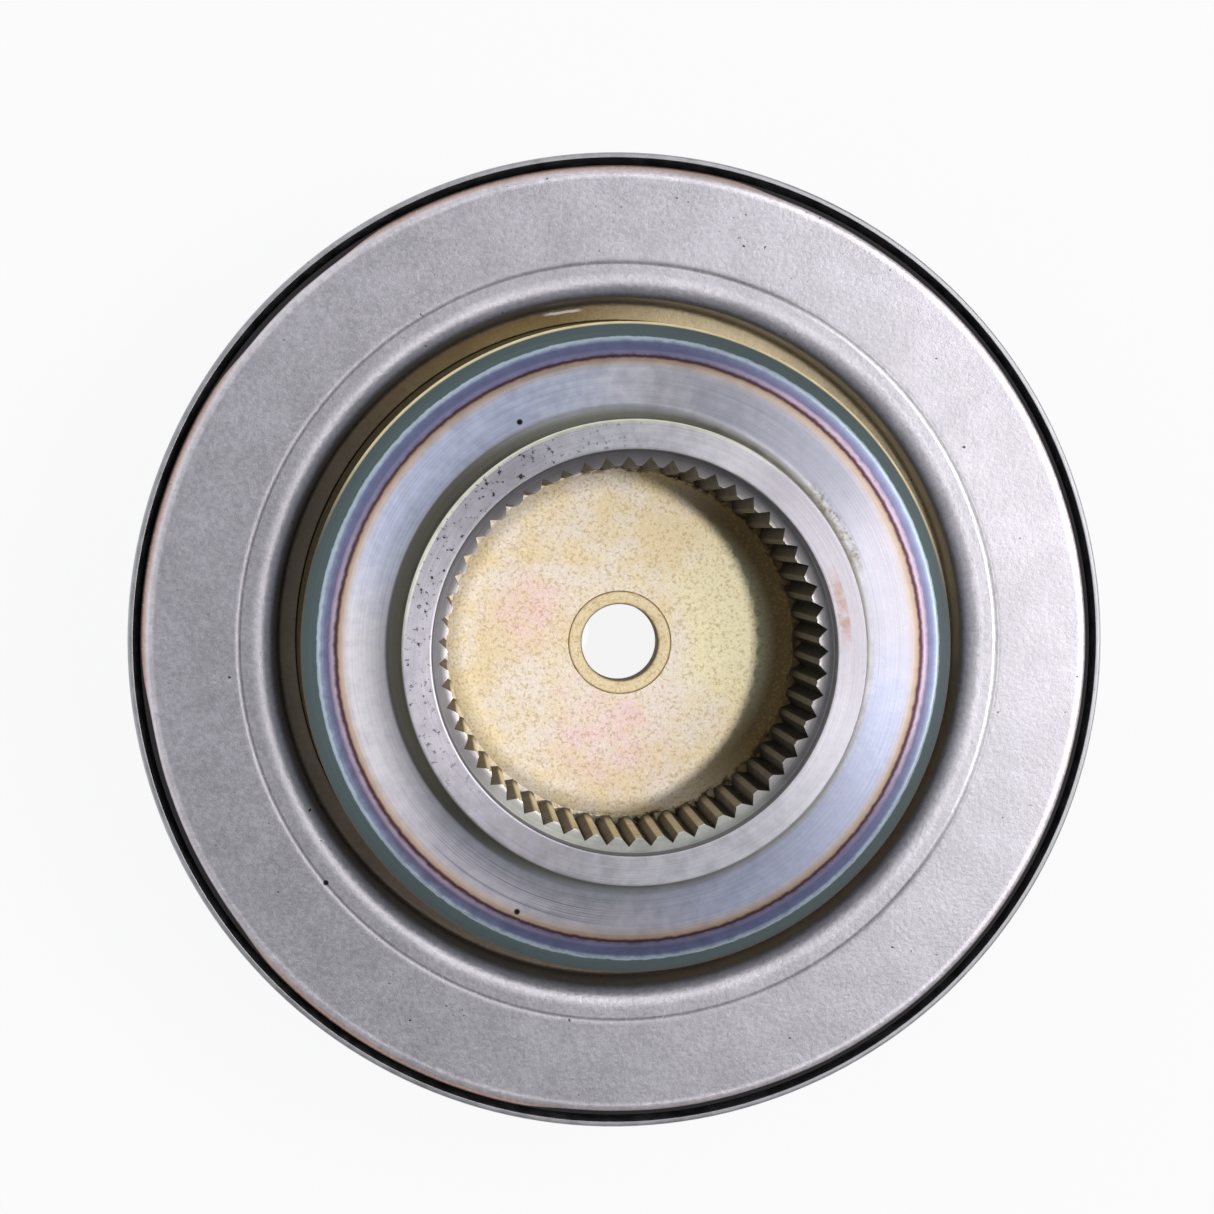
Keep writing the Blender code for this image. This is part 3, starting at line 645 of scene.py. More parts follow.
def mark_piston(steel, tone):
    """Short scratches, small specks and one dark dent."""
    for angle in (25.0, 80.0, 130.0):
        thin = steel.both(steel.scratches(angle, 0.66), steel.remap(steel.radius, 57.0, 59.0, 0.0, 0.4))
        tone = steel.mix(thin, tone, srgb(238, 236, 240))
    specks = steel.remap(steel.noise(0.8, 2.0, 0.5), 0.75, 0.78)
    tone = steel.mix(specks, tone, srgb(82, 76, 74))
    return steel.mix(steel.mark(-48.0, -38.9, 0.6), tone, srgb(40, 36, 36))


def rubber_film(steel):
    """Mask of the rubber over the rolled edge, which ends in waves and is worn away on three sides."""
    bare = steel.either(
        steel.side(98.0, 0.86, 0.96),
        steel.side(165.0, 0.90, 0.98),
        steel.side(240.0, 0.90, 0.98),
    )
    waves = steel.both(steel.rings(0.0, 4.0), 0.4)
    film_edge = steel.math("ADD", steel.remap(bare, 0.0, 1.0, 76.55, 77.35), waves)
    return steel.remap(steel.math("SUBTRACT", steel.radius, film_edge), 0.0, 0.2)


def hub_steel():
    """Machined hub: pitted collar, brushed annulus, heat-tinted edge, painted highlights and shade on
    collar, annulus and bevel, and a spline with painted shade.
    """
    steel = Finish("hub_steel", 1.0, 0.38)
    cloud = steel.noise(0.4, 6.0, 0.65)
    fine = steel.rings(5.0, 1.2)
    height = steel.height()
    tone = vary_collar(steel, vary_annulus(steel, hub_tone(steel, height)))
    tone = steel.shade(steel.shade(tone, cloud, 0.12), fine, 0.10)
    tone = mark_hub(steel, tone)
    shoulder = (extent("spline_hub")[2] - SHOULDER_DEPTH) / MM
    in_spline = steel.remap(height, shoulder - 0.05, shoulder - 0.15)
    in_spline = steel.both(in_spline, steel.remap(steel.radius, 30.4, 30.2))
    shaded_spline = steel.shade(spline_shade_tone(steel, height, shoulder), cloud, 0.2)
    steel.put("Base Color", steel.mix(in_spline, tone, shaded_spline))
    steel.put("Metallic", steel.remap(in_spline, 0.0, 1.0, 1.0, 0.35))
    steel.put("Roughness", steel.remap(cloud, 0.3, 0.7, 0.33, 0.45))
    steel.bump(steel.math("ADD", fine, cloud), 0.02)
    steel.brush(0.9)
    return steel.material


def hub_tone(steel, height):
    """Colours from the spline out to the bevel, with the rings that heat left, painted highlights and shade
    at the collar and the tint's edge, a painted highlight at the bevel's foot, and the wall below them.
    """
    wander = steel.math("SUBTRACT", steel.noise(0.8), 0.5)
    wander = steel.both(wander, steel.remap(steel.radius, 42.0, 44.5, 0.0, 0.5))
    tone = steel.bands(steel.math("ADD", steel.radius, wander), [
        (29.0, 158, 154, 154),
        (30.5, 146, 144, 146),
        # painted shade then painted highlight: a dark line and a bright one at the collar bore's edge
        (30.62, 120, 118, 120),
        (30.8, 244, 240, 246),
        (31.0, 205, 201, 208),
        (34.9, 200, 196, 204),
        # painted shade in the fillet around the collar
        (35.25, 120, 118, 100),
        (36.6, 138, 138, 126),
        (38.4, 216, 216, 228),
        (40.5, 222, 220, 232),
        (43.4, 224, 220, 230),
        (44.3, 220, 205, 194),
        (44.95, 204, 176, 154),
        (45.25, 94, 66, 70),
        (45.55, 98, 76, 90),
        (45.95, 206, 186, 200),
        (46.3, 180, 166, 188),
        (46.6, 126, 120, 150),
        (47.3, 136, 142, 172),
        (47.8, 164, 176, 200),
        # painted highlight on the rounded outer edge of the tint
        (48.05, 204, 218, 228),
        (48.35, 190, 207, 219),
        (48.5, 93, 108, 109),
        (50.6, 87, 102, 103),
        (50.95, 104, 96, 84),
    ])
    # painted highlight: a pale golden line on the bevel's foot at the upper side
    golden = steel.both(steel.remap(steel.radius, 50.5, 50.8), steel.side(85.0, 0.2, 0.65))
    tone = steel.mix(golden, tone, srgb(242, 226, 184))
    bevel_foot = (extent("spline_hub")[2] - COLLAR_HEIGHT - TINT_DROP - BEVEL_DROP) / MM
    wall = steel.remap(height, bevel_foot - 0.8, bevel_foot - 1.6)
    return steel.mix(wall, tone, srgb(136, 136, 142))


def vary_annulus(steel, tone):
    """Sides of the annulus painted paler, greyer or cooler, a painted reflection of its brushed sheen, and
    sides of the tint that are more violet.
    """
    flat_part = steel.both(steel.remap(steel.radius, 37.8, 38.3), steel.remap(steel.radius, 44.7, 43.0))
    # painted highlight: the annulus painted paler where its brushed sheen is brightest
    pale = steel.either(steel.side(185.0, 0.75, 0.97), steel.side(92.0, 0.90, 0.99))
    tone = steel.mix(steel.both(flat_part, pale), tone, srgb(250, 246, 252))
    # painted reflection: greyer towards the upper right, where the sheen is dim
    grey = steel.side(58.0, 0.80, 0.98)
    tone = steel.mix(steel.both(flat_part, grey, 0.7), tone, srgb(168, 171, 186))
    # painted reflection: a cooler, bluer tint on two opposite sides
    cool_reflection = steel.either(steel.side(130.0, 0.65, 0.95), steel.side(318.0, 0.65, 0.95))
    tone = steel.mix(steel.both(flat_part, cool_reflection, 0.8), tone, srgb(214, 223, 252))
    violet = steel.either(steel.side(112.0, 0.5, 0.9), steel.side(285.0, 0.5, 0.9))
    violet = steel.both(violet, steel.within(45.8, 47.5), 0.75)
    return steel.mix(violet, tone, srgb(120, 126, 164))


def vary_collar(steel, tone):
    """Painted shade in the fillet on the collar's left side, painted sheen on its face, a painted highlight
    along its outer edge, and the lit part of the shoulder painted paler.
    """
    # painted shade in the fillet on the left side of the collar
    fillet_shade = steel.both(steel.within(35.4, 37.6, 0.4), steel.side(180.0, 0.2, 0.8), 0.85)
    tone = steel.mix(fillet_shade, tone, srgb(94, 91, 78))
    # painted sheen on the collar's face at two sides
    collar_sheen = steel.either(steel.side(300.0, 0.5, 0.95), steel.side(85.0, 0.80, 0.97))
    collar_sheen = steel.both(steel.within(31.1, 34.9), collar_sheen)
    tone = steel.mix(collar_sheen, tone, srgb(242, 240, 246))
    # painted highlight along the collar's outer edge on the upper left
    edge_highlight = steel.both(steel.within(34.7, 35.15, 0.15), steel.side(115.0, 0.3, 0.8))
    tone = steel.mix(edge_highlight, tone, srgb(250, 250, 232))
    # painted light on the lower side of the shoulder
    lit = steel.both(steel.remap(steel.radius, 30.6, 30.4), steel.side(268.0, 0.55, 0.95))
    return steel.mix(lit, tone, srgb(236, 238, 228))


def spline_shade_tone(steel, height, shoulder):
    """Golden tips with painted shade in the grooves, deeper down and as a painted shadow towards the shaded
    side.
    """
    # painted shade: the grooves darker than the tips
    shaded_spline = steel.bands(steel.radius, [
        (28.3, 234, 218, 174),
        (28.42, 230, 214, 170),
        (28.52, 100, 88, 62),
        (29.6, 64, 55, 40),
    ])
    # painted shade deep down in the cup
    shaded_spline = steel.mix(steel.remap(height, shoulder - 20.0, shoulder - 30.0), shaded_spline, srgb(66, 52, 34))
    # painted shadow on the spline's shaded side
    return steel.mix(steel.both(steel.side(25.0, -0.4, 0.4), 0.93), shaded_spline, srgb(18, 18, 17))


def mark_hub(steel, tone):
    """Pits and rust on the collar, grime beside it, dark turning marks and dots on the annulus."""
    pits = steel.both(steel.within(31.1, 34.7), steel.side(155.0, 0.2, 0.9))
    pits = steel.both(pits, steel.remap(steel.noise(1.0, 5.0, 0.7), 0.575, 0.63))
    tone = steel.mix(pits, tone, srgb(70, 56, 52))
    rust = steel.both(steel.within(31.2, 32.6), steel.side(12.0, 0.975, 0.998))
    rust = steel.both(rust, steel.remap(steel.noise(0.6, 5.0, 0.7), 0.3, 0.7), 0.8)
    tone = steel.mix(rust, tone, srgb(186, 146, 124))
    dark_blotches = steel.both(steel.within(35.6, 38.2, 0.8), steel.side(31.0, 0.97, 0.995))
    dark_blotches = steel.both(dark_blotches, steel.remap(steel.noise(1.2, 6.0, 0.75), 0.38, 0.66), 0.85)
    tone = steel.mix(dark_blotches, tone, srgb(124, 112, 84))
    worn = steel.both(steel.within(39.0, 43.0, 0.8), steel.side(245.0, 0.9, 0.98))
    worn = steel.both(worn, steel.remap(steel.rings(9.0, 1.0, 2.0), 0.50, 0.62), 0.6)
    tone = steel.mix(worn, tone, srgb(84, 82, 96))
    for across, up in ((-17.1, 35.1), (-17.6, -40.6)):
        tone = steel.mix(steel.mark(across, up, 0.6), tone, srgb(44, 42, 48))
    return tone


def golden_plate():
    """Passivated plate: cream with pink patches, a painted pool of light and a painted shadow of the wall
    towards one side, and dark blotches at its edge.
    """
    gold = Finish("golden_plate", 0.4, 0.6)
    patch = gold.noise(0.12, 4.0, 0.6)
    tone = gold.mix(gold.remap(patch, 0.38, 0.62), srgb(208, 193, 158), srgb(210, 202, 188))
    pink = gold.either(gold.mark(-2.0, -14.0, 15.0, 1.0), gold.mark(-15.0, 5.0, 10.0, 1.0))
    pink = gold.both(pink, gold.remap(gold.noise(0.3, 5.0, 0.65), 0.3, 0.7))
    tone = gold.mix(pink, tone, srgb(214, 184, 190))
    # painted pool of light on the right of the plate
    pale = gold.both(gold.side(10.0, 0.6, 1.0), gold.remap(gold.radius, 9.0, 14.0))
    tone = gold.mix(pale, tone, srgb(214, 207, 172))
    # painted shadow of the wall on the right of the plate
    brown = gold.both(gold.remap(gold.radius, 23.0, 26.0), gold.side(5.0, 0.2, 0.8))
    tone = speckle(gold, gold.mix(brown, tone, srgb(112, 94, 58)))
    # darker blotches at the rim on the right side
    dark_blotches = gold.both(gold.remap(gold.radius, 27.6, 28.3), gold.side(180.0, 0.6, -0.1))
    dark_blotches = gold.both(dark_blotches, gold.remap(gold.noise(0.8), 0.46, 0.6))
    gold.put("Base Color", gold.mix(dark_blotches, tone, srgb(66, 50, 30)))
    return gold.material


def golden_bush():
    """Cream ring with a brown outline."""
    gold = Finish("golden_bush", 0.4, 0.6)
    tone = gold.bands(gold.radius, [
        # painted shade on the wall of the bore
        (6.2, 120, 94, 54),
        (6.5, 200, 186, 150),
        (8.1, 204, 190, 156),
        (8.38, 150, 118, 62),
    ])
    gold.put("Base Color", speckle(gold, tone))
    return gold.material


def speckle(gold, tone):
    """Grain and golden specks of the passivated parts."""
    grain = gold.noise(2.2, 5.0, 0.75)
    gold.put("Roughness", gold.remap(grain, 0.3, 0.7, 0.52, 0.68))
    gold.bump(grain, 0.1)
    specks = gold.both(gold.remap(gold.noise(1.9, 3.0, 0.6), 0.50, 0.66), 0.55)
    return gold.mix(specks, gold.shade(tone, grain, 0.2), srgb(160, 134, 82))


def seal_rubber(name, dark, light):
    """Moulded rubber with a dull grain."""
    rubber = Finish(name, 0.0, 0.6)
    grain = rubber.noise(1.4, 5.0, 0.6)
    rubber.put("Base Color", rubber.mix(rubber.remap(grain, 0.35, 0.7), dark, light))
    rubber.put("Roughness", rubber.remap(grain, 0.3, 0.7, 0.52, 0.7))
    rubber.bump(grain, 0.05)
    return rubber.material


def make_drum():
    """Shell with a rim, a web, a shoulder over the ring gear and a groove for the snap ring."""
    band, _, rim = extent("clutch_drum")
    skirt = band - SKIRT_STEP
    inner = skirt - SKIRT_WALL
    bore = band - BORE_WALL
    web_inner = extent("carrier_thrust_washer")[0] - THRUST_WASHER_WIDTH
    groove_low, groove_high = heights("ring_gear_snap_ring")
    ring_top = extent("ring_gear")[2]
    bm = bmesh.new()
    lathe(bm, rounded([
        (band - RIM_LAND, rim, FINE_EDGE),
        (band, rim, 2 * EDGE),
        (band, BAND_BOTTOM, EDGE),
        (skirt, BAND_BOTTOM - SKIRT_SLOPE, EDGE),
        (skirt, 0.0, 2 * EDGE),
        (inner, 0.0, EDGE),
        (inner, groove_low - GAP, FINE_EDGE),
        (inner + GROOVE_DEPTH, groove_low - GAP, FINE_EDGE),
        (inner + GROOVE_DEPTH, groove_high + GAP, FINE_EDGE),
        (inner, groove_high + GAP, FINE_EDGE),
        (inner, ring_top + GAP, FINE_EDGE),
        (SHOULDER_INNER, ring_top + GAP, EDGE),
        (SHOULDER_INNER, BAND_BOTTOM, EDGE),
        (web_inner, BAND_BOTTOM, EDGE),
        (web_inner, BAND_BOTTOM + WEB, EDGE),
        (bore, BAND_BOTTOM + WEB, 4 * EDGE),
        (bore, rim - RIM_LEAD_IN, FINE_EDGE),
    ]))
    piece("drum_shell", bm, "drum", "drum_steel", "clutch_drum")
    make_washer("thrust_washer_ring", "drum", "carrier_thrust_washer", web_inner)


def make_washer(name, body, node, inner, spot=(0.0, 0.0)):
    """Flat bronze ring with soft edges."""
    bm = bmesh.new()
    lathe(bm, rounded(hoop(inner, half_width(node), *heights(node), EDGE)), WASHER_SEGMENTS)
    piece(name, bm, body, "bronze", node, spot=spot)


def spline_sector(angle):
    """One pitch of the hub's spline: a pointed root at the given angle, then the flat tip."""
    pitch = 2 * pi / SPLINE_TEETH
    flank = pitch * (1 - SPLINE_TIP_LAND) / 2
    root = SPLINE_TIP + SPLINE_DEPTH
    return [polar(root, angle), polar(SPLINE_TIP, angle + flank), polar(SPLINE_TIP, angle + pitch - flank)]


def round_sector(radius):
    """Sector function of a round ring that has several points for each spline tooth."""
    pitch = 2 * pi / SPLINE_TEETH
    return lambda angle: [polar(radius, angle + pitch * share) for share in shares(SECTOR_STEPS)]


def make_hub():
    """Hub with a bevelled edge, a collar and a spline that runs from the collar's bore to the end plate."""
    hub, bottom, top = extent("spline_hub")
    annulus = top - COLLAR_HEIGHT
    shoulder = top - SHOULDER_DEPTH
    plate_radius, _, plate_rim = extent("end_plate")
    fillet = arc((COLLAR_RADIUS + COLLAR_FILLET, annulus + COLLAR_FILLET), COLLAR_FILLET, 180.0, 270.0)
    outside = rounded([
        (COLLAR_BORE, top, COLLAR_EDGE),
        (COLLAR_RADIUS, top, COLLAR_EDGE),
        *sharp(fillet),
        (ANNULUS_RADIUS, annulus, EDGE),
        (TINT_RADIUS, annulus - TINT_DROP, TINT_EDGE),
        (hub, annulus - TINT_DROP - BEVEL_DROP, TINT_EDGE),
        (hub, bottom, EDGE),
        (hub - HUB_SKIRT_WALL, bottom, EDGE),
        (hub - HUB_SKIRT_WALL, annulus - HUB_FLANGE, 4 * EDGE),
        (COLLAR_RADIUS, annulus - HUB_FLANGE, 4 * EDGE),
        (COLLAR_RADIUS, bottom + TUBE_LIFT, EDGE),
        (plate_radius, bottom + TUBE_LIFT, EDGE),
        (plate_radius, plate_rim + GAP, 0.0),
    ])
    rings = [(round_sector(radius), height) for radius, height in outside]
    rings += [
        (spline_sector, plate_rim + GAP),
        (spline_sector, shoulder),
        (round_sector(COLLAR_BORE - FINE_EDGE), shoulder),
        (round_sector(COLLAR_BORE), shoulder + FINE_EDGE),
    ]
    bm = bmesh.new()
    lathe(bm, rings, SPLINE_TEETH)
    piece("spline_hub_body", bm, "drum", "hub_steel", "spline_hub")


def make_end_plate():
    """Dished plate at the bottom of the spline."""
    plate, low, rim = extent("end_plate")
    bush, _, floor = extent("pilot_bush")
    turn = acos(1 - DISH_RISE / DISH_RADIUS)
    centre = (SPLINE_TIP - DISH_RADIUS * sin(turn), floor + DISH_RADIUS)
    bm = bmesh.new()
    lathe(bm, rounded([
        (plate, rim, EDGE),
        (plate, low, EDGE),
        (bush + BUSH_GAP, low, FINE_EDGE),
        (bush + BUSH_GAP, floor, FINE_EDGE),
        *sharp(arc(centre, DISH_RADIUS, -90.0, -90.0 + degrees(turn))),
    ]))
    piece("end_plate_dish", bm, "drum", "golden_plate", "end_plate")


def make_bush():
    """Ring around the pilot hole, level with the plate's floor and underside."""
    low = heights("end_plate")[0]
    bush, _, floor = extent("pilot_bush")
    bm = bmesh.new()
    lathe(bm, rounded([
        (bush, floor, FINE_EDGE),
        (bush, low, FINE_EDGE),
        (BUSH_BORE, low, 2 * EDGE),
        (BUSH_BORE, floor, 2 * EDGE),
    ]))
    piece("pilot_bush_ring", bm, "drum", "golden_bush", "pilot_bush")


def make_piston():
    """Pressed disc from its rolled edge over the step and the lip down into the well, with both seals."""
    edge, bottom, face = extent("piston")
    edge += EDGE_SWELL
    lip = face - LIP_STEP
    step = WELL_RADIUS + LIP_WIDTH
    corner = Vector((WELL_RADIUS, lip))
    roll = curve(corner + Vector((LIP_ROLL, 0.0)), corner, corner - Vector((0.0, LIP_DROP)), ROLL_STEPS)
    edge_bottom = face - EDGE_RADIUS - EDGE_SKIRT
    bm = bmesh.new()
    lathe(bm, rounded([
        (edge, edge_bottom, EDGE),
        *sharp(arc((edge - EDGE_RADIUS, face - EDGE_RADIUS), EDGE_RADIUS, 0.0, 90.0)),
        (step + LIP_STEP_WIDTH, face, 2 * EDGE),
        (step, lip, EDGE),
        *sharp(roll),
        (WELL_RADIUS, bottom + PISTON_SHEET, 4 * EDGE),
        (PISTON_INNER, bottom + PISTON_SHEET, EDGE),
        (PISTON_INNER, bottom, EDGE),
        (WELL_RADIUS + PISTON_SHEET, bottom, 4 * EDGE),
        (WELL_RADIUS + PISTON_SHEET, lip - PISTON_SHEET, 4 * EDGE),
        (edge - PISTON_SHEET, lip - PISTON_SHEET, 4 * EDGE),
        (edge - PISTON_SHEET, edge_bottom, EDGE),
    ]))
    piece("piston_disc", bm, "piston", "piston_steel", "piston")
    make_outer_seal(edge, edge_bottom)
    make_inner_seal()


def make_outer_seal(edge, edge_bottom):
    """Rubber below the piston's rolled edge, with a lip against the drum."""
    lip, foot, top = extent("piston_outer_seal")
    inner = edge - PISTON_SHEET
    bm = bmesh.new()
    lathe(bm, rounded([
        (lip, top, 2 * EDGE),
        (lip, foot, EDGE),
        (inner, foot, EDGE),
        (inner, edge_bottom - FINE_EDGE, 0.0),
        (edge - EDGE, edge_bottom - FINE_EDGE, 0.0),
        (edge - FINE_EDGE, top, 0.0),
    ]))
    piece("piston_outer_lip", bm, "piston", "seal_rubber", "piston_outer_seal")


def make_inner_seal():
    """Pointed rubber lip between the well and the hub."""
    low, high = heights("piston_inner_seal")
    inner = extent("spline_hub")[0] + INNER_SEAL_GAP
    bm = bmesh.new()
    lathe(bm, rounded([
        (PISTON_INNER - FINE_EDGE, high, EDGE),
        (PISTON_INNER - FINE_EDGE, low, EDGE),
        (inner + 2 * EDGE, low, EDGE),
        (inner, high - 4 * EDGE, FINE_EDGE),
        (inner + 2 * EDGE, high, EDGE),
    ]))
    piece("piston_inner_lip", bm, "piston", "seal_rubber", "piston_inner_seal", finish="oiled_rubber")


def planet_turn(angle):
    """Turn that puts a planet's tooth space on the sun's tooth."""
    return angle + pi - (2 * pi / PLANET_TEETH) * (0.5 - angle * SUN_TEETH / (2 * pi))


def make_ring_gear():
    """Ring with internal teeth that mesh with the planets."""
    outer, low, high = extent("ring_gear")
    pitch = MODULE * RING_TEETH / 2
    root, tip = pitch + DEDENDUM * MODULE, pitch - ADDENDUM * MODULE
    turn = planet_turn(0.0) * PLANET_TEETH / RING_TEETH
    teeth = gear_outline(RING_TEETH, root, tip, -BACKLASH, turn, (TIP_ROUNDING, ROOT_ROUNDING))
    bm = bmesh.new()
    prism(bm, circle(outer, SEGMENTS), [teeth], low, high, GEAR_CHAMFER)
    piece("ring_gear_body", bm, "drum", "gear_steel", "ring_gear")


def make_snap_ring():
    """Flat open ring in the drum's groove; its opening is at +X, so its radius shows at -X."""
    outer = -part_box("ring_gear_snap_ring")[0].x
    low, high = heights("ring_gear_snap_ring")
    half = SNAP_RING_OPENING / 2
    angles = [half + (2 * pi - 2 * half) * share for share in full_shares(SEGMENTS)]
    outline = [polar(outer, angle) for angle in angles]
    outline += [polar(outer - SNAP_RING_WIDTH, angle) for angle in reversed(angles)]
    bm = bmesh.new()
    prism(bm, outline, [], low, high, FINE_EDGE)
    piece("snap_ring_wire", bm, "drum", "spring_steel", "ring_gear_snap_ring")


def make_sun():
    """Sun gear with a splined bore, and the washer at each of its ends."""
    low, high = heights("sun_gear")
    pitch = MODULE * SUN_TEETH / 2
    tip, root = pitch + ADDENDUM * MODULE, pitch - DEDENDUM * MODULE
    teeth = gear_outline(SUN_TEETH, tip, root, BACKLASH, 0.0, (ROOT_ROUNDING, TIP_ROUNDING))
    bore = slotted_outline(SUN_BORE, SUN_BORE + SUN_SPLINE_DEPTH, SUN_SPLINE_TEETH, pi / SUN_SPLINE_TEETH)
    bm = bmesh.new()
    prism(bm, teeth, [bore], low, high, GEAR_CHAMFER)
    piece("sun_gear_body", bm, "sun", "gear_steel", "sun_gear")
    for node in ("sun_washer_front", "sun_washer_rear"):
        make_washer(node + "_ring", "carrier", node, SUN_WASHER_BORE)


def make_carrier():
    """Two plates with the holes for pins and rivets, and the pillars between them."""
    pins = [quarter(number) for number in PLANET_NUMBERS]
    pillars = [angle + pi / 4 for angle in pins]
    holes = [circle(PIN_RADIUS + GAP, PIN_SEGMENTS, polar(PIN_CIRCLE, angle)) for angle in pins]
    holes += [circle(RIVET_RADIUS + GAP, PIN_SEGMENTS, polar(PIN_CIRCLE, angle)) for angle in pillars]
    turns = [2 * pi * (share + 0.5 / WINDOW_COUNT) for share in shares(WINDOW_COUNT)]
    windows = [circle(WINDOW_RADIUS, PIN_SEGMENTS, polar(WINDOW_CIRCLE, turn)) for turn in turns]
    dog = DOG_WIDTH / OPENING_RADIUS
    dogs = slotted_outline(OPENING_RADIUS, OPENING_RADIUS + DOG_DEPTH, DOG_COUNT, dog)
    openings = {
        "carrier_front_plate": [circle(OPENING_RADIUS, WASHER_SEGMENTS), *holes],
        "carrier_rear_plate": [dogs, *holes, *windows],
    }
    for node, cuts in openings.items():
        outer, low, high = extent(node)
        bm = bmesh.new()
        prism(bm, circle(outer, SEGMENTS), cuts, low, high, PLATE_CHAMFER)
        piece(node + "_disc", bm, "carrier", "carrier_steel", node)
    for number, angle in enumerate(pillars, start=1):
        spot = polar(PIN_CIRCLE, angle)
        make_pillar(number, spot)
        make_rivet(number, spot)


def make_pillar(number, spot):
    """A spacer between the carrier plates."""
    node = f"carrier_pillar_{number}"
    corners = hoop(RIVET_RADIUS + GAP, half_width(node), *heights(node), 2 * EDGE)
    bm = bmesh.new()
    lathe(bm, rounded(corners), PIN_SEGMENTS)
    piece(f"carrier_spacer_{number}", bm, "carrier", "carrier_steel", node, spot=spot)


def make_rivet(number, spot):
    """The round-headed rivet through a pillar and both plates."""
    node = f"carrier_rivet_{number}"
    head = half_width(node)
    low, high = heights(node)
    turns = [RIVET_TIP + (pi / 2 - RIVET_TIP) * share for share in full_shares(ROLL_STEPS)]
    dome = [(head * sin(turn), RIVET_HEAD * cos(turn)) for turn in turns]
    profile = [(radius, low + RIVET_HEAD - rise) for radius, rise in dome]
    profile += [(RIVET_RADIUS, low + RIVET_HEAD), (RIVET_RADIUS, high - RIVET_HEAD)]
    profile += [(radius, high - RIVET_HEAD + rise) for radius, rise in reversed(dome)]
    bm = bmesh.new()
    spindle(bm, profile)
    piece(f"carrier_rivet_round_{number}", bm, "carrier", "rivet_steel", node, spot=spot)


def make_planets():
    """Each planet gear with its bearing, its pin and its two washers."""
    pitch = MODULE * PLANET_TEETH / 2
    tip, root = pitch + ADDENDUM * MODULE, pitch - DEDENDUM * MODULE
    for number in PLANET_NUMBERS:
        body = f"planet_{number}"
        spot = polar(PIN_CIRCLE, quarter(number))
        turn = planet_turn(quarter(number))
        teeth = gear_outline(PLANET_TEETH, tip, root, BACKLASH, turn, (ROOT_ROUNDING, TIP_ROUNDING))
        low, high = heights(f"planet_gear_{number}")
        bm = bmesh.new()
        prism(bm, teeth, [circle(PLANET_BORE, WASHER_SEGMENTS)], low, high, GEAR_CHAMFER)
        piece(f"planet_gear_body_{number}", bm, body, "gear_steel", f"planet_gear_{number}", spot=spot)
        make_needles(number, spot)
        make_pin(number, spot)
        for end in ("front", "rear"):
            node = f"planet_washer_{end}_{number}"
            make_washer(f"planet_washer_ring_{end}_{number}", "carrier", node, WASHER_BORE, spot)


def make_needles(number, spot):
    """Needles between two cage rings, all turning with their planet."""
    node = f"planet_needle_bearing_{number}"
    low, high = heights(node)
    bm = bmesh.new()
    for share in shares(NEEDLE_COUNT):
        place = polar(NEEDLE_CIRCLE, 2 * pi * share)
        spindle(bm, [
            (NEEDLE_RADIUS - EDGE, low + CAGE_HEIGHT / 2),
            (NEEDLE_RADIUS, low + CAGE_HEIGHT / 2 + EDGE),
            (NEEDLE_RADIUS, high - CAGE_HEIGHT / 2 - EDGE),
            (NEEDLE_RADIUS - EDGE, high - CAGE_HEIGHT / 2),
        ], NEEDLE_SEGMENTS, place)
    inner, outer = NEEDLE_CIRCLE - CAGE_HALF_WIDTH, NEEDLE_CIRCLE + CAGE_HALF_WIDTH
    for bottom in (low, high - CAGE_HEIGHT):
        lathe(bm, rounded(hoop(inner, outer, bottom, bottom + CAGE_HEIGHT, FINE_EDGE)), PIN_SEGMENTS)
    piece(f"planet_needles_{number}", bm, f"planet_{number}", "needle_steel", node, spot=spot)


def make_pin(number, spot):
    """Ground pin with chamfered ends and a centre dimple in each."""
    node = f"planet_pin_{number}"
    low, high = heights(node)
    end = [
        (PIN_DIMPLE_FLAT, PIN_DIMPLE_DEPTH),
        (PIN_DIMPLE, 0.0),
        (PIN_RADIUS - PIN_CHAMFER, 0.0),
        (PIN_RADIUS, PIN_CHAMFER),
    ]
    bm = bmesh.new()
    spindle(bm, [(r, low + z) for r, z in end] + [(r, high - z) for r, z in reversed(end)])
    piece(f"planet_pin_ground_{number}", bm, "carrier", "pin_steel", node, spot=spot)


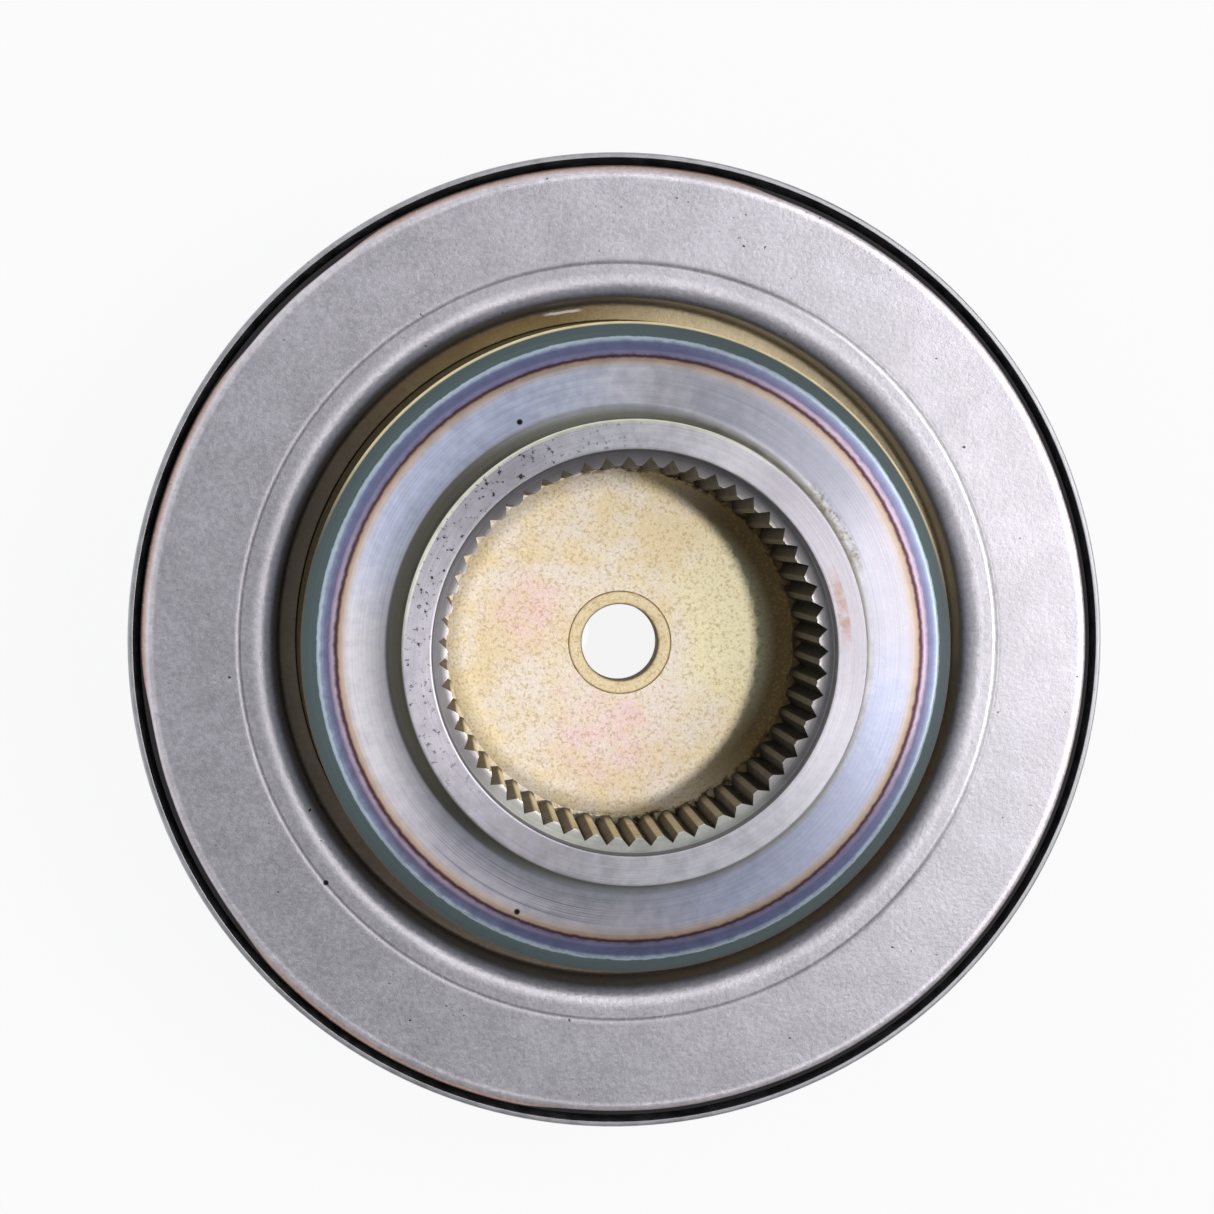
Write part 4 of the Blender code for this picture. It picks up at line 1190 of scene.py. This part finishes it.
def make_floor():
    """Plain pale floor that takes the shadow and shows white to the camera and the metal."""
    half = FLOOR_SIZE / 2
    corners = [(-half, -half, 0.0), (half, -half, 0.0), (half, half, 0.0), (-half, half, 0.0)]
    mesh = bpy.data.meshes.new("floor")
    mesh.from_pydata(corners, [], [(0, 1, 2, 3)])
    floor = bpy.data.objects.new("floor", mesh)
    bpy.context.scene.collection.objects.link(floor)
    material = bpy.data.materials.new("floor_white")
    material.use_nodes = True
    nodes, links = material.node_tree.nodes, material.node_tree.links
    paint = nodes["Principled BSDF"]
    paint.inputs["Base Color"].default_value = FLOOR_COLOUR
    paint.inputs["Roughness"].default_value = FLOOR_ROUGHNESS
    path = nodes.new("ShaderNodeLightPath")
    seen = path.outputs["Is Camera Ray"]
    for name in ("Is Glossy Ray", "Is Transmission Ray"):
        either = nodes.new("ShaderNodeMath")
        either.operation = "MAXIMUM"
        links.new(seen, either.inputs[0])
        links.new(path.outputs[name], either.inputs[1])
        seen = either.outputs[0]
    share = nodes.new("ShaderNodeMath")
    share.operation = "MULTIPLY"
    share.inputs[1].default_value = FLOOR_GLOW
    links.new(seen, share.inputs[0])
    glow = nodes.new("ShaderNodeEmission")
    blend = nodes.new("ShaderNodeMixShader")
    links.new(share.outputs[0], blend.inputs[0])
    links.new(paint.outputs[0], blend.inputs[1])
    links.new(glow.outputs[0], blend.inputs[2])
    links.new(blend.outputs[0], nodes["Material Output"].inputs["Surface"])
    mesh.materials.append(material)


def make_sky():
    """Dim overhead, brighter low down at the upper left, and plain white where the camera sees it."""
    world = bpy.data.worlds.new("studio")
    world.use_nodes = True
    bpy.context.scene.world = world
    nodes, links = world.node_tree.nodes, world.node_tree.links
    sky = nodes["Background"]
    sky.inputs["Color"].default_value = (*SKY_COLOUR, 1.0)
    lean = nodes.new("ShaderNodeVectorMath")
    lean.operation = "DOT_PRODUCT"
    lean.inputs[1].default_value = SKY_BRIGHT_WAY
    links.new(nodes.new("ShaderNodeTexCoord").outputs["Generated"], lean.inputs[0])
    level = nodes.new("ShaderNodeMapRange")
    level.interpolation_type = "SMOOTHSTEP"
    for name, value in zip(("From Min", "From Max", "To Min", "To Max"), (*SKY_RANGE, SKY_DIM, SKY_BRIGHT)):
        level.inputs[name].default_value = value
    links.new(lean.outputs["Value"], level.inputs["Value"])
    seen = nodes.new("ShaderNodeMath")
    seen.operation = "MAXIMUM"
    links.new(level.outputs[0], seen.inputs[0])
    links.new(nodes.new("ShaderNodeLightPath").outputs["Is Camera Ray"], seen.inputs[1])
    links.new(seen.outputs[0], sky.inputs["Strength"])


def make_panel():
    """Soft panel that hangs level on the right."""
    lamp = bpy.data.lights.new("panel", "AREA")
    lamp.shape = "RECTANGLE"
    lamp.size, lamp.size_y = PANEL_SIZE
    lamp.energy = PANEL_POWER
    lamp.color = PANEL_COLOUR
    panel = bpy.data.objects.new("panel", lamp)
    panel.location = PANEL_SPOT
    bpy.context.scene.collection.objects.link(panel)


def make_beam():
    """Lamp with a narrow cone that reaches down to the end plate."""
    lamp = bpy.data.lights.new("beam", "SPOT")
    lamp.spot_size = BEAM_ANGLE
    lamp.spot_blend = BEAM_BLUR
    lamp.shadow_soft_size = BEAM_SIZE
    lamp.energy = BEAM_POWER
    lamp.color = PANEL_COLOUR
    beam = bpy.data.objects.new("beam", lamp)
    target = Vector((0.0, 0.0, extent("spline_hub")[2] - SHOULDER_DEPTH))
    turn = (target - Vector(BEAM_SPOT)).to_track_quat("-Z", "Y")
    beam.matrix_world = Matrix.Translation(BEAM_SPOT) @ turn.to_matrix().to_4x4()
    bpy.context.scene.collection.objects.link(beam)


def make_camera():
    """Camera that looks down with +Y up in its picture."""
    lens = bpy.data.cameras.new("camera")
    lens.lens = LENS_MM
    lens.sensor_width = SENSOR_MM
    lens.clip_start = CLIP_START
    camera = bpy.data.objects.new("camera", lens)
    back = (Vector(CAMERA_SPOT) - Vector(CAMERA_AIM)).normalized()
    right = Vector((0.0, 1.0, 0.0)).cross(back).normalized()
    turn = Matrix((right, back.cross(right), back)).transposed()
    camera.matrix_world = Matrix.Translation(CAMERA_SPOT) @ turn.to_4x4()
    bpy.context.scene.collection.objects.link(camera)
    bpy.context.scene.camera = camera


finishes = {
    "drum_steel": turned_steel("drum_steel", srgb(186, 186, 188), 0.42, 0.14, 0.15),
    "hub_steel": hub_steel(),
    "piston_steel": piston_steel(),
    "golden_plate": golden_plate(),
    "golden_bush": golden_bush(),
    "seal_rubber": seal_rubber("seal_rubber", srgb(18, 17, 19), srgb(30, 28, 31)),
    "oiled_rubber": seal_rubber("oiled_rubber", srgb(104, 88, 56), srgb(122, 104, 68)),
    "gear_steel": turned_steel("gear_steel", srgb(182, 182, 186), 0.34),
    "carrier_steel": turned_steel("carrier_steel", srgb(160, 158, 156), 0.45, lines=0.04),
    "rivet_steel": turned_steel("rivet_steel", srgb(150, 148, 148), 0.4, lines=0.0),
    "pin_steel": turned_steel("pin_steel", srgb(200, 200, 204), 0.25, lines=0.05),
    "needle_steel": turned_steel("needle_steel", srgb(200, 200, 205), 0.22, lines=0.0),
    "spring_steel": turned_steel("spring_steel", srgb(90, 90, 96), 0.42),
    "bronze": turned_steel("bronze", srgb(196, 152, 92), 0.4),
}
make_camera()
make_panel()
make_beam()
make_sky()
make_floor()
make_drum()
make_hub()
make_end_plate()
make_bush()
make_piston()
make_ring_gear()
make_snap_ring()
make_carrier()
make_planets()
make_sun()
bpy.context.scene.view_settings.view_transform = "Standard"
